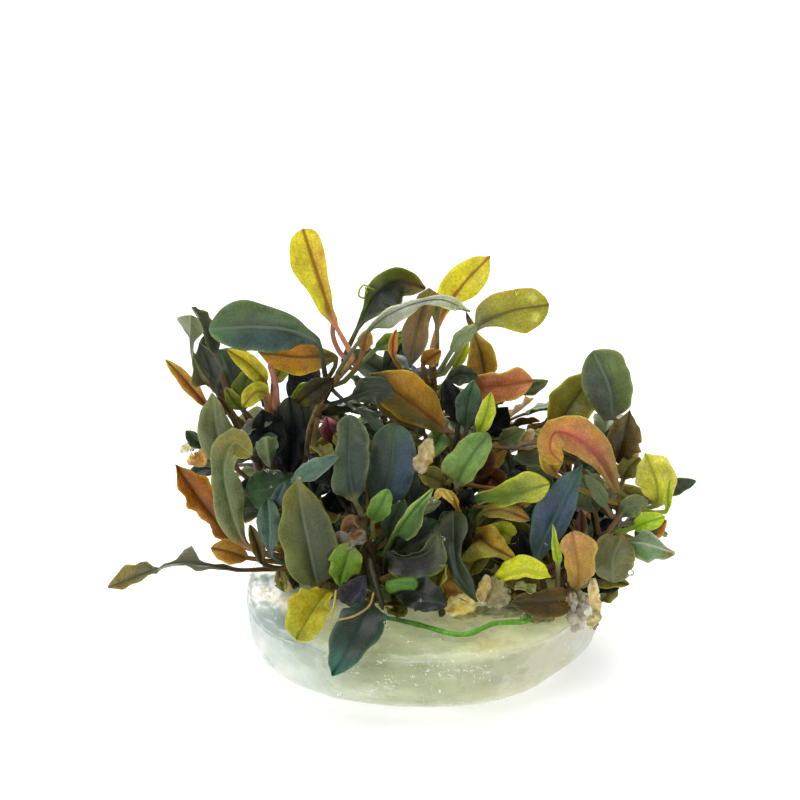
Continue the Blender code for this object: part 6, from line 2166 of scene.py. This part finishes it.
def add_painted_glints(tree, material):
    """Chips, crinkles and single glints on the gel's skin, all painted glints."""
    skin = Skin()
    rng = random.Random(CHIP_GLINT_SEED)
    # The painted glints' white, for the crinkle threads
    white = Vector((1.0, 1.0, 1.0))
    for across, up, wide, high, count in CHIP_GLINT_PATCHES:
        for number in range(count):
            a, b = across + rng.gauss(0.0, wide), up + rng.gauss(0.0, high)
            size = [rng.uniform(0.12, 0.32) for _ in range(3)]
            steps = [(rng.gauss(0.0, 0.42), rng.gauss(0.0, 0.30)) for _ in range(4)]
            radius = rng.uniform(0.03, 0.06)
            place = on_gel(tree, a, b)
            if place and number % 2:
                add_blob(skin, place, size, material, rng.uniform(0, 90), 1.2)
            elif place:
                way = [place]
                for step_across, step_up in steps:
                    a, b = a + step_across, b + step_up
                    way.append(on_gel(tree, a, b))
                if all(way):
                    add_thread(skin, smooth_way(way, CHIP_STEPS), radius, material, white)
    for across, up, size in GLINTS:
        place = on_gel(tree, across, up)
        if place:
            add_blob(skin, place, (size * 0.7, size * 0.5, size), material, across, 0.8)
    return skin.make("glints")


def add_lumps(tree, material):
    """Loose lumps of gel and clotted tissue that lie on the gel."""
    skin = Skin()
    for across, up, over, size, tint in LUMPS:
        place = on_gel(tree, across, up)
        if place:
            middle = place + Vector((0.0, 0.0, over))
            add_blob(skin, middle, size, material, across, 0.7, colour(tint), LUMP_FINENESS)
    return skin.make("gel_lumps")


def add_root(material):
    """The bare root: a little thicker and thinner along its way, darker at its older end."""
    way = smooth_way([Vector((x, y, GEL_HEIGHT + over)) for x, y, over in ROOT_WAY], ROOT_STEPS)
    skin = Skin()
    facing = Vector((0.0, 0.0, 1.0))
    for ring in range(ROOT_RINGS + 1):
        share = ring / ROOT_RINGS
        centre, along = point_along(way, share)
        facing = square_to(along, facing)
        across = along.cross(facing)
        radius = ROOT_RADIUS * (1.0 + 0.22 * noise.noise(centre * 0.5))
        radius *= 0.75 + 0.25 * smooth(0.0, 0.2, share)
        if ring in (0, ROOT_RINGS):
            radius *= 0.4
        young = smooth(0.0, 0.45, share + 0.2 * noise.noise(centre * 0.4))
        tint = colour("#3c6a24").lerp(colour("#6aae2c"), young)
        for step in range(ROOT_SIDES):
            turn = math.tau * step / ROOT_SIDES
            out = across * math.cos(turn) + facing * math.sin(turn)
            skin.add_point(centre + out * radius, tint)
    skin.add_rings(0, ROOT_RINGS + 1, ROOT_SIDES, material)
    return skin.make("bare_root")


def add_camera():
    """The camera of the front view."""
    data = bpy.data.cameras.new("camera")
    data.lens = LENS
    data.sensor_width = SENSOR
    data.clip_start = 0.01
    camera = bpy.data.objects.new("camera", data)
    camera.location = EYE * MM
    camera.rotation_euler = SEEN_AWAY.to_track_quat("-Z", "Y").to_euler()
    bpy.context.scene.collection.objects.link(camera)
    bpy.context.scene.camera = camera


def add_lamp(name, place, size, power):
    """A soft square lamp at a place, turned toward the plant."""
    data = bpy.data.lights.new(name, "AREA")
    data.size = size
    data.energy = power
    lamp = bpy.data.objects.new(name, data)
    lamp.location = place
    lamp.rotation_euler = (Vector(LAMPS_AIM) - Vector(place)).to_track_quat("-Z", "Y").to_euler()
    bpy.context.scene.collection.objects.link(lamp)


def add_studio():
    """A plain white floor under soft light from above, the front and behind."""
    world = bpy.data.worlds.new("studio")
    bpy.context.scene.world = world
    world.use_nodes = True
    background = world.node_tree.nodes["Background"]
    background.inputs["Color"].default_value = (1.0, 1.0, 1.0, 1.0)
    background.inputs["Strength"].default_value = SKY_POWER
    for name, (place, size, power) in LAMPS.items():
        add_lamp(name, place, size, power)
    white = (1.0, 1.0, 1.0, 1.0)
    material, tree, shader = principled(
        "floor", Roughness=0.8, Specular_IOR_Level=0.2, Emission_Color=white, Emission_Strength=0.45
    )
    shade = spread(tree, noise_at(tree, place_on(tree), 3.0), 0.2, 0.8, 0.88, 0.91)
    tree.links.new(shade, shader.inputs["Base Color"])
    bpy.ops.mesh.primitive_plane_add(size=6.0)
    floor = bpy.context.object
    floor.name = "floor"
    floor.data.materials.append(material)


def place_piece(piece, nodes):
    """The piece rides on the plant's one body and stands for its solids, which it hides."""
    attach(piece, "root")
    if nodes:
        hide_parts(*nodes)


def place_leaves(skins, ways):
    """The placed leaves' fine pieces."""
    for leaf in LEAVES:
        skin = Skin()
        add_leaf(skin, leaf, ways[leaf.stem], skin_of(leaf, skins), LEAF_ROWS, STALK_START)
        place_piece(skin.make(leaf.name.replace("leaf", "fine_leaf")), [leaf.name])


def place_stems(skins, ways, small):
    """The stems' fine pieces, each with its small leaves."""
    bark = stem_material()
    for name, way in stem_ways(FINE_STEM_STEPS).items():
        skin = Skin()
        add_stem(skin, name, way, bark, *STEM_LOOKS.get(name, STEM_LOOK))
        for leaf in small:
            if leaf.stem == name:
                add_leaf(skin, leaf, ways[name], skin_of(leaf, skins), SMALL_ROWS, SMALL_STALK_START)
        place_piece(skin.make(name.replace("stem", "fine_stem")), [name])


def add_threads(skins):
    """The tiny curl, bare stalks and threads, as one piece."""
    skin = Skin()
    curl = smooth_way(front(*CURL), CURL_STEPS)
    add_thread(skin, curl, CURL_RADIUS, skins["leaf_lime"], colour(CURL_TINT))
    for way, radius, tint in THREADS:
        add_thread(skin, smooth_way(way, THREAD_STEPS), radius, skins["leaf_green"], colour(tint))
    return skin.make("stalks_and_curl")


def main():
    """Builds the studio and every fine piece."""
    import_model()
    bpy.context.scene.view_settings.view_transform = "Standard"
    add_camera()
    add_studio()
    skins = {slot: leaf_material(slot, *finish) for slot, finish in FINISHES.items()}
    ways = stem_ways(STEM_STEPS)
    place_leaves(skins, ways)
    small, room = grow_small_leaves(ways)
    place_stems(skins, ways, small)

    gel = add_gel(gel_material())
    tree = gel_tree(gel)
    place_piece(gel, ["gel_disc"])
    place_piece(add_root(root_material()), ["root"])
    place_piece(add_dead_bits(room, flake_material()), [])
    place_piece(add_droplets(clear_material()), [])
    place_piece(add_painted_glints(tree, painted_glint_material()), [])
    place_piece(add_lumps(tree, lump_material()), [])
    place_piece(add_threads(skins), [])


main()
